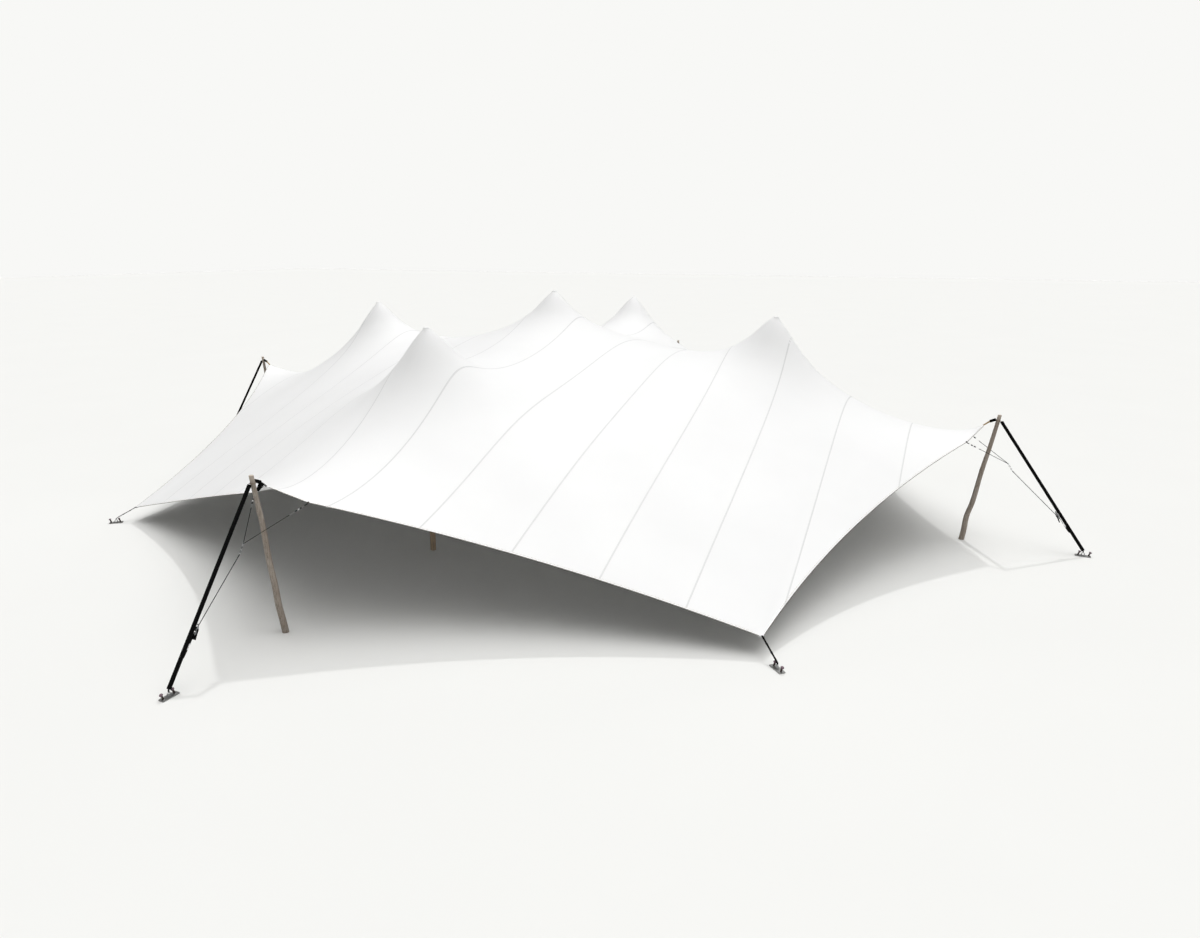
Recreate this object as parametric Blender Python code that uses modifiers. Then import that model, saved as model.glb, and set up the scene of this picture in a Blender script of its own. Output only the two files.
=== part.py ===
"""Stretch tent: one white membrane over five wooden masts, raised at four
corners by leaning side poles and pulled down to the ground at the other four.

The origin is the middle of the tent on the ground and +Z is up. The raised
corners lie on the X and Y axes and the low corners on the diagonals. Everything
at a corner is modelled along a local +X that points away from the tent, and is
turned into place by the empty that carries it.
"""
import math

import bmesh
import bpy
import numpy as np
from mathutils import Matrix
from mathutils import Vector

# Membrane, metres
TIP_R = 9.755
TIP_Z = 2.475
TIP_CUT_R = 9.74
LOW_R = 9.84
LOW_Z = 0.315
CLAMP_SIDE = 0.561
CLAMP_OUT = 9.460
CLAMP_Z = 2.205
EDGE_BOW = 0.346
CLOTH_WIDTH = 1.28
SEAM_OFFSET = 0.71
PANEL_SEAMS = (1, 3, 5, 6, 7, 9, 11)
MEMBRANE_DROP = 0.006
CONE_REACH = 0.80
PEAK_RISE = 0.335
PEAK_REACH = 0.593
PEAK_ROUND = 0.03
BILLOW = 0.014

# Masts
MAST_R = 5.47
MAST_Z = 4.50
CENTRE_Z = 4.94
MAST_FOOT_RADIUS = 0.055
MAST_HEAD_RADIUS = 0.043
CAP_HALF = 0.055
BAND_LOW = 0.44
BAND_HIGH = 0.50

# Side poles
POLE_FOOT_R = 9.551
POLE_TOP_R = 10.003
POLE_HEIGHT = 2.70
POLE_FOOT_RADIUS = 0.055
POLE_TOP_RADIUS = 0.036
POLE_RINGS = 9
POLE_SIDES = 14

# Guy strap, in the upright plane of its corner
STRAP_RADIUS = 0.029
STRAP_HEAD = (10.035, 2.580)
STRAP_FOOT = (11.685, 0.158)
COLLAR_Z = 2.575
COLLAR_BAR = 0.006
ANCHOR_R = 11.72
LOW_ANCHOR_R = 10.25

# Anchor plate, stakes and shackle
PLATE = (0.27, 0.105, 0.015)
STAKE_STEP = 0.09
STAKE_RADIUS = 0.014
STAKE_TOP_Z = 0.090
STAKE_LEAN = math.radians(20)
STAKE_HEAD = 0.026
BOW_RADIUS = 0.028
BOW_BAR = 0.007

# Ratchet, along the strap from the point of its centre line at RATCHET_R
RATCHET_R = 11.25
SPINDLE_IN = 0.066
SPINDLE_RADIUS = 0.006
SPINDLE_HALF = 0.045
ROLL_RADIUS = 0.018
FRAME_UP = 0.085
FRAME_DOWN = 0.075
FRAME_INNER_Y = 0.028
FRAME_PLATE = 0.003
HANDLE_INNER_Y = 0.0365
HANDLE_LENGTH = 0.125
HANDLE_TILT = math.radians(8)
HOOK_END = 0.280

# Bridle between the membrane edge and the ratchet
BRIDLE_JOIN = (10.25, 1.715)
BRIDLE_LINK = (10.345, 1.558)
LINE_RADIUS = 0.005
JAW_RADIUS = 0.020

GAP = 0.0003

RAISED = (("front", -90), ("right", 0), ("back", 90), ("left", 180))
LOW = (("front_right", -45), ("back_right", 45), ("back_left", 135), ("front_left", -135))

LOW_XY = LOW_R / math.sqrt(2)
BLUNT = (TIP_R - TIP_CUT_R) / (TIP_R - CLAMP_OUT)
MASTS = {
    "centre": (0.0, 0.0, CENTRE_Z),
    "front": (0.0, -MAST_R, MAST_Z),
    "back": (0.0, MAST_R, MAST_Z),
    "right": (MAST_R, 0.0, MAST_Z),
    "left": (-MAST_R, 0.0, MAST_Z),
}
STRAP_RUN = Vector((STRAP_FOOT[0] - STRAP_HEAD[0], 0, STRAP_FOOT[1] - STRAP_HEAD[1]))
STRAP_ANGLE = math.atan2(-STRAP_RUN.z, STRAP_RUN.x)
RATCHET_Z = STRAP_HEAD[1] + (RATCHET_R - STRAP_HEAD[0]) * STRAP_RUN.z / STRAP_RUN.x


def clear_scene():
    for old in list(bpy.data.objects):
        bpy.data.objects.remove(old, do_unlink=True)


def collection(name):
    made = bpy.data.collections.new(name)
    bpy.context.scene.collection.children.link(made)
    return made


def material(name, colour, roughness, metallic=0.0):
    made = bpy.data.materials.new(name)
    made.use_nodes = True
    shader = made.node_tree.nodes["Principled BSDF"]
    shader.inputs["Base Color"].default_value = (*colour, 1.0)
    shader.inputs["Roughness"].default_value = roughness
    shader.inputs["Metallic"].default_value = metallic
    return made


# The membrane edge

def edge_curve(count=400):
    """Points of one edge: straight from the front tip to the clamp, then bowed to the low corner."""
    t = np.linspace(0.0, 1.0, count)
    start = np.array([CLAMP_SIDE, -CLAMP_OUT])
    run = np.array([LOW_XY, -LOW_XY]) - start
    inward = np.array([-run[1], run[0]]) / np.hypot(*run)
    bow = 4 * t * (1 - t) * EDGE_BOW
    x = start[0] + run[0] * t + inward[0] * bow
    y = start[1] + run[1] * t + inward[1] * bow
    z = CLAMP_Z + (LOW_Z - CLAMP_Z) * t
    return np.append(0.0, x), np.append(-TIP_R, y), np.append(TIP_Z, z)


def edge_at(x):
    """Y and height of the front edge at each X, the same on both sides; the tips are cut blunt."""
    ex, ey, ez = edge_curve()
    x = np.abs(x)
    y_near = np.interp(x, ex, ey)
    z_near = np.interp(x, ex, ez)
    y_far = np.interp(x, -ey[::-1], -ex[::-1])
    z_far = np.interp(x, -ey[::-1], ez[::-1])
    near = x <= LOW_XY
    y = np.maximum(np.where(near, y_near, y_far), -TIP_CUT_R)
    z = np.minimum(np.where(near, z_near, z_far), TIP_Z - (TIP_Z - CLAMP_Z) * BLUNT)
    return y, z


# The membrane surface

def filled(marks, step):
    """The marks with even steps between them."""
    values = []
    for low, high in zip(marks[:-1], marks[1:]):
        parts = max(1, math.ceil((high - low) / step - 0.05))
        values.extend(np.linspace(low, high, parts, endpoint=False))
    values.append(marks[-1])
    return np.array(values)


def seam_marks():
    seams = [SEAM_OFFSET + CLOTH_WIDTH * k for k in range(-7, 7)]
    return [s for s in seams if abs(s + LOW_XY) > 0.05]


def row_value(y):
    """Row parameter of a line that crosses X = 0 at this Y."""
    return 0.5 * (1 + y / TIP_CUT_R)


def corner_angle_weight(a, b, c):
    """Cotangent of the corner at a in the triangle a, b, c."""
    u = b - a
    v = c - a
    cross = np.abs(u[..., 0] * v[..., 1] - u[..., 1] * v[..., 0])
    return (u * v).sum(-1) / np.maximum(cross, 1e-9)


def tension_links(x, y):
    """Link weights of an even tension on the net, and the area at each knot."""
    p = np.stack([x, y], -1)
    m, n = x.shape
    along = np.zeros((m - 1, n))
    across = np.zeros((m, n - 1))
    rising = np.zeros((m - 1, n - 1))
    falling = np.zeros((m - 1, n - 1))
    p00, p10, p01, p11 = p[:-1, :-1], p[1:, :-1], p[:-1, 1:], p[1:, 1:]
    share = 0.25
    across[1:, :] += share * corner_angle_weight(p00, p10, p11)
    rising += share * corner_angle_weight(p10, p11, p00)
    along[:, :-1] += share * corner_angle_weight(p11, p00, p10)
    along[:, 1:] += share * corner_angle_weight(p00, p11, p01)
    across[:-1, :] += share * corner_angle_weight(p11, p01, p00)
    rising += share * corner_angle_weight(p01, p00, p11)
    along[:, 1:] += share * corner_angle_weight(p10, p11, p01)
    falling += share * corner_angle_weight(p11, p01, p10)
    across[1:, :] += share * corner_angle_weight(p01, p10, p11)
    across[:-1, :] += share * corner_angle_weight(p10, p01, p00)
    along[:, :-1] += share * corner_angle_weight(p01, p00, p10)
    falling += share * corner_angle_weight(p00, p10, p01)
    side_a = p11 - p00
    side_b = p01 - p10
    quad = 0.5 * np.abs(side_a[..., 0] * side_b[..., 1] - side_a[..., 1] * side_b[..., 0])
    area = np.zeros((m, n))
    for rows in (slice(None, -1), slice(1, None)):
        for cols in (slice(None, -1), slice(1, None)):
            area[rows, cols] += quad / 4
    return (along, across, rising, falling), area


def settled(z, links, load, free, sweeps, radius):
    """Heights at which the tension of the net carries the load."""
    along, across, rising, falling = links
    total = np.zeros_like(z)
    total[:-1] += along
    total[1:] += along
    total[:, :-1] += across
    total[:, 1:] += across
    total[:-1, :-1] += rising
    total[1:, 1:] += rising
    total[1:, :-1] += falling
    total[:-1, 1:] += falling
    before = z.copy()
    pace = 1.0
    for sweep in range(sweeps):
        pull = load.copy()
        pull[:-1] += along * z[1:]
        pull[1:] += along * z[:-1]
        pull[:, :-1] += across * z[:, 1:]
        pull[:, 1:] += across * z[:, :-1]
        pull[:-1, :-1] += rising * z[1:, 1:]
        pull[1:, 1:] += rising * z[:-1, :-1]
        pull[1:, :-1] += falling * z[:-1, 1:]
        pull[:-1, 1:] += falling * z[1:, :-1]
        if sweep == 1:
            pace = 1 / (1 - radius ** 2 / 2)
        elif sweep > 1:
            pace = 1 / (1 - radius ** 2 * pace / 4)
        moved = pace * (0.9 * (pull / total - z) + z - before) + before
        before, z = z, np.where(free, moved, z)
    return z


def steep_peak(away):
    """Height of the steep cone at a mast head, over the broad rise around it."""
    reach = np.sqrt(away ** 2 + PEAK_ROUND ** 2) / PEAK_REACH
    return PEAK_RISE * np.maximum(1 - reach, 0.0) ** 1.5


def membrane():
    """Columns, row parameters and heights of the stretched surface without its steep peaks.

    The edge fixes the rim, the whole billows up slightly, and each mast lifts
    it with a load that fades out within CONE_REACH, which gives a broad rise.
    """
    marks = sorted(seam_marks() + [-TIP_CUT_R, -LOW_XY, -MAST_R, 0.0, MAST_R, LOW_XY, TIP_CUT_R])
    columns = filled(marks, 0.16)
    half = filled([row_value(-TIP_CUT_R), row_value(-MAST_R), 0.5], 0.008)
    rows = np.concatenate([half, 1 - half[-2::-1]])
    rim_y, rim_z = edge_at(columns)
    x = np.repeat(columns[:, None], len(rows), 1)
    y = rim_y[:, None] * (1 - 2 * rows[None, :])
    links, area = tension_links(x, y)
    free = np.ones(x.shape, bool)
    free[:, 0] = free[:, -1] = free[0] = free[-1] = False
    rim = np.zeros(x.shape)
    rim[:, 0] = rim[:, -1] = rim_z
    rim[0] = rim_z[0]
    rim[-1] = rim_z[-1]

    def lift(spots):
        load = np.zeros(x.shape)
        for a, b in spots:
            away = np.hypot(x - a, y - b)
            load += area * np.maximum(1 - (away / CONE_REACH) ** 2, 0.0)
        return settled(np.zeros(x.shape), links, load, free, 900, 0.9985)

    base = settled(rim, links, BILLOW * area, free, 900, 0.9985)
    middle = lift([(0, 0)])
    outer = lift([(0, -MAST_R), (0, MAST_R), (-MAST_R, 0), (MAST_R, 0)])
    centre = (int(np.argmin(abs(columns))), int(np.argmin(abs(rows - 0.5))))
    side = (int(np.argmin(abs(columns - MAST_R))), centre[1])
    front = (centre[0], int(np.argmin(abs(rows - row_value(-MAST_R)))))

    def outer_mean(field):
        return 0.5 * (field[side] + field[front])

    system = np.array([[middle[centre], outer[centre]], [outer_mean(middle), outer_mean(outer)]])
    wanted = np.array([CENTRE_Z - base[centre], MAST_Z - outer_mean(base)]) - steep_peak(0.0)
    share = np.linalg.solve(system, wanted)
    return columns, rows, base + share[0] * middle + share[1] * outer


def height_at(surface, x, y, t):
    """Height of the membrane at a point, which lies on row t."""
    columns, rows, z = surface
    i = min(max(int(np.searchsorted(columns, x)) - 1, 0), len(columns) - 2)
    j = min(max(int(np.searchsorted(rows, t)) - 1, 0), len(rows) - 2)
    a = (x - columns[i]) / (columns[i + 1] - columns[i])
    b = (t - rows[j]) / (rows[j + 1] - rows[j])
    near = z[i, j] * (1 - b) + z[i, j + 1] * b
    far = z[i + 1, j] * (1 - b) + z[i + 1, j + 1] * b
    peaks = sum(steep_peak(math.hypot(x - px, y - py)) for px, py, top in MASTS.values())
    return near * (1 - a) + far * a + peaks


def around(centre, near, ring):
    return [centre - ring, centre - near, centre, centre + near, centre + ring]


def net_lines():
    """Columns and rows of the membrane panels, with extra ones at the masts."""
    seams = seam_marks() + [-LOW_XY]
    blunt = CLAMP_SIDE * BLUNT
    wanted = [-CLAMP_OUT, CLAMP_OUT, -CLAMP_SIDE, CLAMP_SIDE, -blunt, blunt]
    wanted += [LOW_XY, -TIP_CUT_R, TIP_CUT_R]
    for centre in (-MAST_R, 0.0, MAST_R):
        wanted += around(centre, CAP_HALF, 0.30)
    marks = list(seams)
    for value in wanted:
        if all(abs(value - s) > 0.045 for s in seams):
            marks.append(value)
    columns = filled(sorted(marks), 0.66)
    ys = [-TIP_CUT_R] + around(-MAST_R, CAP_HALF, 0.30) + [-0.30, -CAP_HALF, 0.0]
    half = filled([row_value(v) for v in ys], 0.044)
    return columns, np.concatenate([half, 1 - half[-2::-1]])


def panel_mesh(name, columns, rows, surface, first, last):
    """One closed panel between two seams; its long sides are upright planes."""
    bm = bmesh.new()
    nx = len(columns) - 1
    ny = len(rows) - 1
    bmesh.ops.create_grid(bm, x_segments=nx, y_segments=ny, size=1.0)
    rim_y, rim_z = edge_at(columns)
    for vert in bm.verts:
        i = round((vert.co.x + 1) / 2 * nx)
        j = round((vert.co.y + 1) / 2 * ny)
        x = float(columns[i])
        y = float(rim_y[i] * (1 - 2 * rows[j]))
        z = float(rim_z[i]) if j in (0, ny) else float(height_at(surface, x, y, rows[j]))
        for a, b, top in MASTS.values():
            if abs(x - a) < CAP_HALF + 0.03 and abs(y - b) < CAP_HALF + 0.03:
                z = top
        if i == 0 and not first:
            x += GAP / 2
        if i == nx and not last:
            x -= GAP / 2
        vert.co = (x, y, z)
    bmesh.ops.triangulate(bm, faces=bm.faces[:], quad_method="FIXED")
    grown = bmesh.ops.extrude_face_region(bm, geom=bm.faces[:])
    lower = [g for g in grown["geom"] if isinstance(g, bmesh.types.BMVert)]
    bmesh.ops.translate(bm, verts=lower, vec=(0, 0, -MEMBRANE_DROP))
    bmesh.ops.recalc_face_normals(bm, faces=bm.faces[:])
    mesh = bpy.data.meshes.new(name)
    bm.to_mesh(mesh)
    bm.free()
    return mesh


# Shapes

def temporary(mesh):
    made = bpy.data.objects.new(mesh.name, mesh)
    bpy.context.scene.collection.objects.link(made)
    return made


def from_bmesh(name, bm):
    bmesh.ops.recalc_face_normals(bm, faces=bm.faces[:])
    mesh = bpy.data.meshes.new(name)
    bm.to_mesh(mesh)
    bm.free()
    return mesh


def block(size, centre, turn=None, taper=1.0):
    """A box; taper narrows its +X end in Y."""
    bm = bmesh.new()
    bmesh.ops.create_cube(bm, size=1.0)
    place = Matrix.Translation(centre) @ (turn or Matrix.Identity(4))
    for vert in bm.verts:
        narrow = taper if vert.co.x > 0 else 1.0
        local = Vector((vert.co.x * size[0], vert.co.y * size[1] * narrow, vert.co.z * size[2]))
        vert.co = place @ local
    return from_bmesh("block", bm)


def cylinder(radius, length, centre, axis="Z", sides=16, top=None, turn=None):
    bm = bmesh.new()
    place = Matrix.Translation(centre) @ (turn or Matrix.Identity(4))
    if axis == "Y":
        place = place @ Matrix.Rotation(math.radians(90), 4, "X")
    radius_top = radius if top is None else top
    bmesh.ops.create_cone(bm, cap_ends=True, segments=sides, radius1=radius, radius2=radius_top,
                          depth=length, matrix=place)
    return from_bmesh("cylinder", bm)


def ball(radius, centre):
    bm = bmesh.new()
    place = Matrix.Translation(centre)
    bmesh.ops.create_uvsphere(bm, u_segments=8, v_segments=5, radius=radius, matrix=place)
    return from_bmesh("ball", bm)


def ring(major, minor, centre, upright, segments):
    bpy.ops.mesh.primitive_torus_add(major_radius=major, minor_radius=minor,
                                     major_segments=segments, minor_segments=6)
    made = bpy.context.object
    mesh = made.data.copy()
    bpy.data.objects.remove(made, do_unlink=True)
    turn = Matrix.Rotation(math.radians(90), 4, "X") if upright else Matrix.Identity(4)
    mesh.transform(Matrix.Translation(centre) @ turn)
    return mesh


def rod(points, radius, scales=None):
    """A round bar along straight runs, made solid with welded caps."""
    curve = bpy.data.curves.new("rod", "CURVE")
    curve.dimensions = "3D"
    curve.bevel_depth = radius
    curve.bevel_resolution = 2
    curve.use_fill_caps = True
    spline = curve.splines.new("POLY")
    spline.points.add(len(points) - 1)
    for k, point in enumerate(points):
        spline.points[k].co = (*point, 1.0)
        spline.points[k].radius = scales[k] if scales else 1.0
    made = bpy.data.objects.new("rod", curve)
    bpy.context.scene.collection.objects.link(made)
    graph = bpy.context.evaluated_depsgraph_get()
    mesh = bpy.data.meshes.new_from_object(made.evaluated_get(graph))
    bpy.data.objects.remove(made, do_unlink=True)
    bm = bmesh.new()
    bm.from_mesh(mesh)
    bmesh.ops.remove_doubles(bm, verts=bm.verts[:], dist=1e-5)
    return from_bmesh("rod", bm)


def combined(name, meshes, holes=()):
    """One closed mesh of overlapping parts, less the holes."""
    base = temporary(meshes[0])
    helpers = []
    for operation, group in (("UNION", meshes[1:]), ("DIFFERENCE", holes)):
        for mesh in group:
            helper = temporary(mesh)
            helpers.append(helper)
            step = base.modifiers.new(operation.lower(), "BOOLEAN")
            step.operation = operation
            step.object = helper
    graph = bpy.context.evaluated_depsgraph_get()
    mesh = bpy.data.meshes.new_from_object(base.evaluated_get(graph))
    mesh.name = name
    for made in [base] + helpers:
        bpy.data.objects.remove(made, do_unlink=True)
    return mesh


def strap_point(along, inward, side=0.0):
    """A point given from the strap's centre line at the ratchet."""
    ca = math.cos(STRAP_ANGLE)
    sa = math.sin(STRAP_ANGLE)
    return (RATCHET_R + along * ca - inward * sa, side, RATCHET_Z - along * sa - inward * ca)


def strap_turn():
    return Matrix.Rotation(STRAP_ANGLE, 4, "Y")


def pole_bend(t, phase):
    """Sideways offsets of a grown pole at the share t of its height."""
    fade = math.sin(math.pi * t) ** 2
    out = 0.012 * math.sin(2 * math.pi * t + phase) * fade
    side = 0.015 * math.sin(3 * math.pi * t + 1.7 * phase) * fade
    return out, side


def side_pole_mesh(name, phase):
    bm = bmesh.new()
    middle = Matrix.Translation((0, 0, POLE_HEIGHT / 2))
    bmesh.ops.create_cone(bm, cap_ends=True, segments=POLE_SIDES, radius1=1, radius2=1,
                          depth=POLE_HEIGHT, matrix=middle)
    for k in range(1, POLE_RINGS):
        everything = bm.verts[:] + bm.edges[:] + bm.faces[:]
        level = (0, 0, POLE_HEIGHT * k / POLE_RINGS)
        bmesh.ops.bisect_plane(bm, geom=everything, plane_co=level, plane_no=(0, 0, 1))
    for vert in bm.verts:
        t = min(max(vert.co.z / POLE_HEIGHT, 0.0), 1.0)
        radius = POLE_FOOT_RADIUS + (POLE_TOP_RADIUS - POLE_FOOT_RADIUS) * t
        out, side = pole_bend(t, phase)
        lean = (POLE_TOP_R - POLE_FOOT_R) * t
        vert.co = (vert.co.x * radius + lean + out, vert.co.y * radius + side, vert.co.z)
    return from_bmesh(name, bm)


def mast_object(name, height, parts, look):
    """A turned mast with a steel band above its foot."""
    top = height - MEMBRANE_DROP - GAP

    def radius(z):
        return MAST_FOOT_RADIUS + (MAST_HEAD_RADIUS - MAST_FOOT_RADIUS) * z / height

    outline = [(0.0, top), (0.6 * MAST_HEAD_RADIUS, top), (MAST_HEAD_RADIUS, top - 0.018)]
    outline += [(radius(2.4), 2.4), (radius(BAND_HIGH), BAND_HIGH)]
    outline += [(radius(BAND_HIGH) + 0.004, BAND_HIGH - 0.003)]
    outline += [(radius(BAND_LOW) + 0.004, BAND_LOW + 0.003), (radius(BAND_LOW), BAND_LOW)]
    outline += [(MAST_FOOT_RADIUS, 0.0), (0.0, 0.0)]
    mesh = bpy.data.meshes.new(name)
    points = [(r, 0.0, z) for r, z in outline]
    mesh.from_pydata(points, [(k, k + 1) for k in range(len(points) - 1)], [])
    mast = bpy.data.objects.new(name, mesh)
    parts.objects.link(mast)
    turned = mast.modifiers.new("turned", "SCREW")
    turned.steps = 16
    turned.render_steps = 16
    turned.use_merge_vertices = True
    turned.merge_threshold = 0.0001
    mesh.materials.append(look)
    return mast


def guy_strap_mesh(name, twin_leg):
    """Strap from the anchor to a collar on the pole, and on to the tip."""
    pole_centre = POLE_FOOT_R + (POLE_TOP_R - POLE_FOOT_R) * COLLAR_Z / POLE_HEIGHT
    pole_radius = POLE_FOOT_RADIUS + (POLE_TOP_RADIUS - POLE_FOOT_RADIUS) * COLLAR_Z / POLE_HEIGHT
    inside = (pole_radius + 3 * GAP) / math.cos(math.pi / 16)
    collar = ring(inside + COLLAR_BAR, COLLAR_BAR, (pole_centre, 0, COLLAR_Z), False, 16)
    main = rod([(10.037, 0, 2.578), (10.062, 0, 2.540), (STRAP_FOOT[0], 0, STRAP_FOOT[1])],
               STRAP_RADIUS, [0.42, 1.0, 1.0])
    neck = rod([(STRAP_FOOT[0] - 0.02, 0, STRAP_FOOT[1] + 0.03), (11.712, 0, 0.118),
                (ANCHOR_R, 0, 0.100), (ANCHOR_R, 0, shackle_top() + GAP)], 0.012)
    leg = rod([(9.927, 0, 2.594), (9.822, 0, 2.545)], 0.022)
    tip_z = float(edge_at(np.array([0.0]))[1][0])
    tab = block((0.115, 0.040, 0.008), (9.789, 0, tip_z + 0.040), Matrix.Rotation(-0.828, 4, "Y"))
    toe = block((0.022, 0.040, 0.012), (TIP_CUT_R + GAP + 0.011, 0, tip_z - MEMBRANE_DROP / 2))
    pull = block((0.12, 0.026, 0.024), strap_point(HOOK_END + GAP + 0.06, 0.038), strap_turn())
    pieces = [main, collar, neck, leg, tab, toe, pull]
    if twin_leg:
        pieces.append(rod([(9.902, 0, 2.440), (9.830, 0, 2.545)], 0.020))
    return combined(name, pieces)


def shackle_top():
    return PLATE[2] - 0.002 + 2 * BOW_RADIUS + BOW_BAR


def anchor_mesh(name):
    """Plate with two leaning stakes and an upright shackle bow."""
    plate = block(PLATE, (0, 0, PLATE[2] / 2))
    bow = ring(BOW_RADIUS, BOW_BAR, (0, 0, PLATE[2] - 0.002 + BOW_RADIUS), True, 12)
    pieces = [plate, bow]
    for side in (-1, 1):
        foot = Vector((side * STAKE_STEP, 0, 0.006))
        lean = Vector((math.sin(STAKE_LEAN), 0, math.cos(STAKE_LEAN)))
        length = (STAKE_TOP_Z - foot.z) / math.cos(STAKE_LEAN)
        turn = Matrix.Rotation(STAKE_LEAN, 4, "Y")
        stem = cylinder(STAKE_RADIUS, length, foot + lean * length / 2, turn=turn, sides=10,
                        top=STAKE_RADIUS * 1.25)
        head = cylinder(STAKE_HEAD, 0.024, foot + lean * (length + 0.004), turn=turn, sides=10,
                        top=STAKE_HEAD * 0.7)
        pieces += [stem, head]
    return combined(name, pieces)


def corner_strap_mesh(name):
    """Flat strap from a low corner of the membrane to its anchor."""
    start = Vector((9.862, 0, 0.303))
    finish = Vector((10.240, 0, 0.105))
    run = finish - start
    turn = Matrix.Rotation(math.atan2(-run.z, run.x), 4, "Y")
    band = block((run.length, 0.032, 0.010), (start + finish) / 2, turn)
    toe = block((0.030, 0.038, 0.018), (LOW_R + GAP + 0.015, 0, LOW_Z - 0.006))
    heel = block((0.028, 0.032, 0.026), (LOW_ANCHOR_R - 0.006, 0, shackle_top() + GAP + 0.013))
    return combined(name, [band, toe, heel])


def bridle_mesh(name, clamp_drop):
    """Two jaws under the edge, their lines, the link and the rope to the ratchet."""
    up = CLAMP_Z - MEMBRANE_DROP - clamp_drop
    join = (BRIDLE_JOIN[0], 0, BRIDLE_JOIN[1])
    link = (BRIDLE_LINK[0], 0, BRIDLE_LINK[1])
    spindle = Vector(strap_point(0, SPINDLE_IN))
    towards = (Vector(link) - spindle).normalized()
    end = spindle + towards * (ROLL_RADIUS + 2 * GAP)
    pieces = [rod([link, tuple(end)], LINE_RADIUS), rod([join, link], 0.010)]
    pieces.append(ball(0.017, join))
    pieces.append(ball(0.016, link))
    for hand in (-1, 1):
        jaw = (CLAMP_OUT, hand * CLAMP_SIDE, up - JAW_RADIUS)
        pieces.append(ball(JAW_RADIUS, jaw))
        pieces.append(rod([jaw, join], LINE_RADIUS))
    return combined(name, pieces)


def ratchet_mesh(name):
    """Frame, spindle and roll, with the webbing and hook below; +X runs down the strap."""
    pieces = []
    roll = cylinder(ROLL_RADIUS, 2 * FRAME_INNER_Y + 0.002, (0, 0, -SPINDLE_IN), "Y")
    pieces.append(roll)
    pieces.append(cylinder(SPINDLE_RADIUS, 2 * SPINDLE_HALF, (0, 0, -SPINDLE_IN), "Y"))
    length = FRAME_UP + FRAME_DOWN
    for hand in (-1, 1):
        y = hand * (FRAME_INNER_Y + FRAME_PLATE / 2)
        middle = ((FRAME_DOWN - FRAME_UP) / 2, y, -0.055)
        pieces.append(block((length, FRAME_PLATE, 0.038), middle))
    for x in (-FRAME_UP + 0.010, FRAME_DOWN - 0.009):
        pieces.append(cylinder(0.006, 2 * FRAME_INNER_Y + 0.004, (x, 0, -0.047), "Y", sides=12))
    webbing = block((0.138, 0.050, 0.005), (0.131, 0, -0.047), taper=0.55)
    pieces.append(webbing)
    pieces.append(rod([(0.188, 0, -0.047), (0.235, 0, -0.047), (0.262, 0, -0.043),
                       (HOOK_END, 0, -0.043)], 0.006))
    return combined(name, pieces)


def handle_mesh(name):
    """Two arms and a grip; the origin is the spindle's middle."""
    pieces = []
    holes = []
    for hand in (-1, 1):
        y = hand * (HANDLE_INNER_Y + FRAME_PLATE / 2)
        arm = block((HANDLE_LENGTH + 0.012, FRAME_PLATE, 0.022), (HANDLE_LENGTH / 2, y, 0))
        pieces.append(arm)
        holes.append(cylinder(SPINDLE_RADIUS + 0.0006, 0.02, (0, y, 0), "Y"))
    grip_length = 2 * (HANDLE_INNER_Y + FRAME_PLATE) - 0.001
    pieces.insert(0, cylinder(0.0105, grip_length, (HANDLE_LENGTH, 0, 0), "Y", sides=12))
    return combined(name, pieces, holes)


# Assembly

def corner_empty(name, degrees, guides):
    made = bpy.data.objects.new(name, None)
    made.empty_display_size = 0.5
    made.rotation_euler = (0, 0, math.radians(degrees))
    guides.objects.link(made)
    return made


def placed(name, mesh, look, parts, parent=None, location=(0, 0, 0), tilt=0.0):
    made = bpy.data.objects.new(name, mesh)
    parts.objects.link(made)
    if not mesh.materials:
        mesh.materials.append(look)
    made.parent = parent
    made.location = location
    made.rotation_euler = (0, tilt, 0)
    return made


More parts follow.
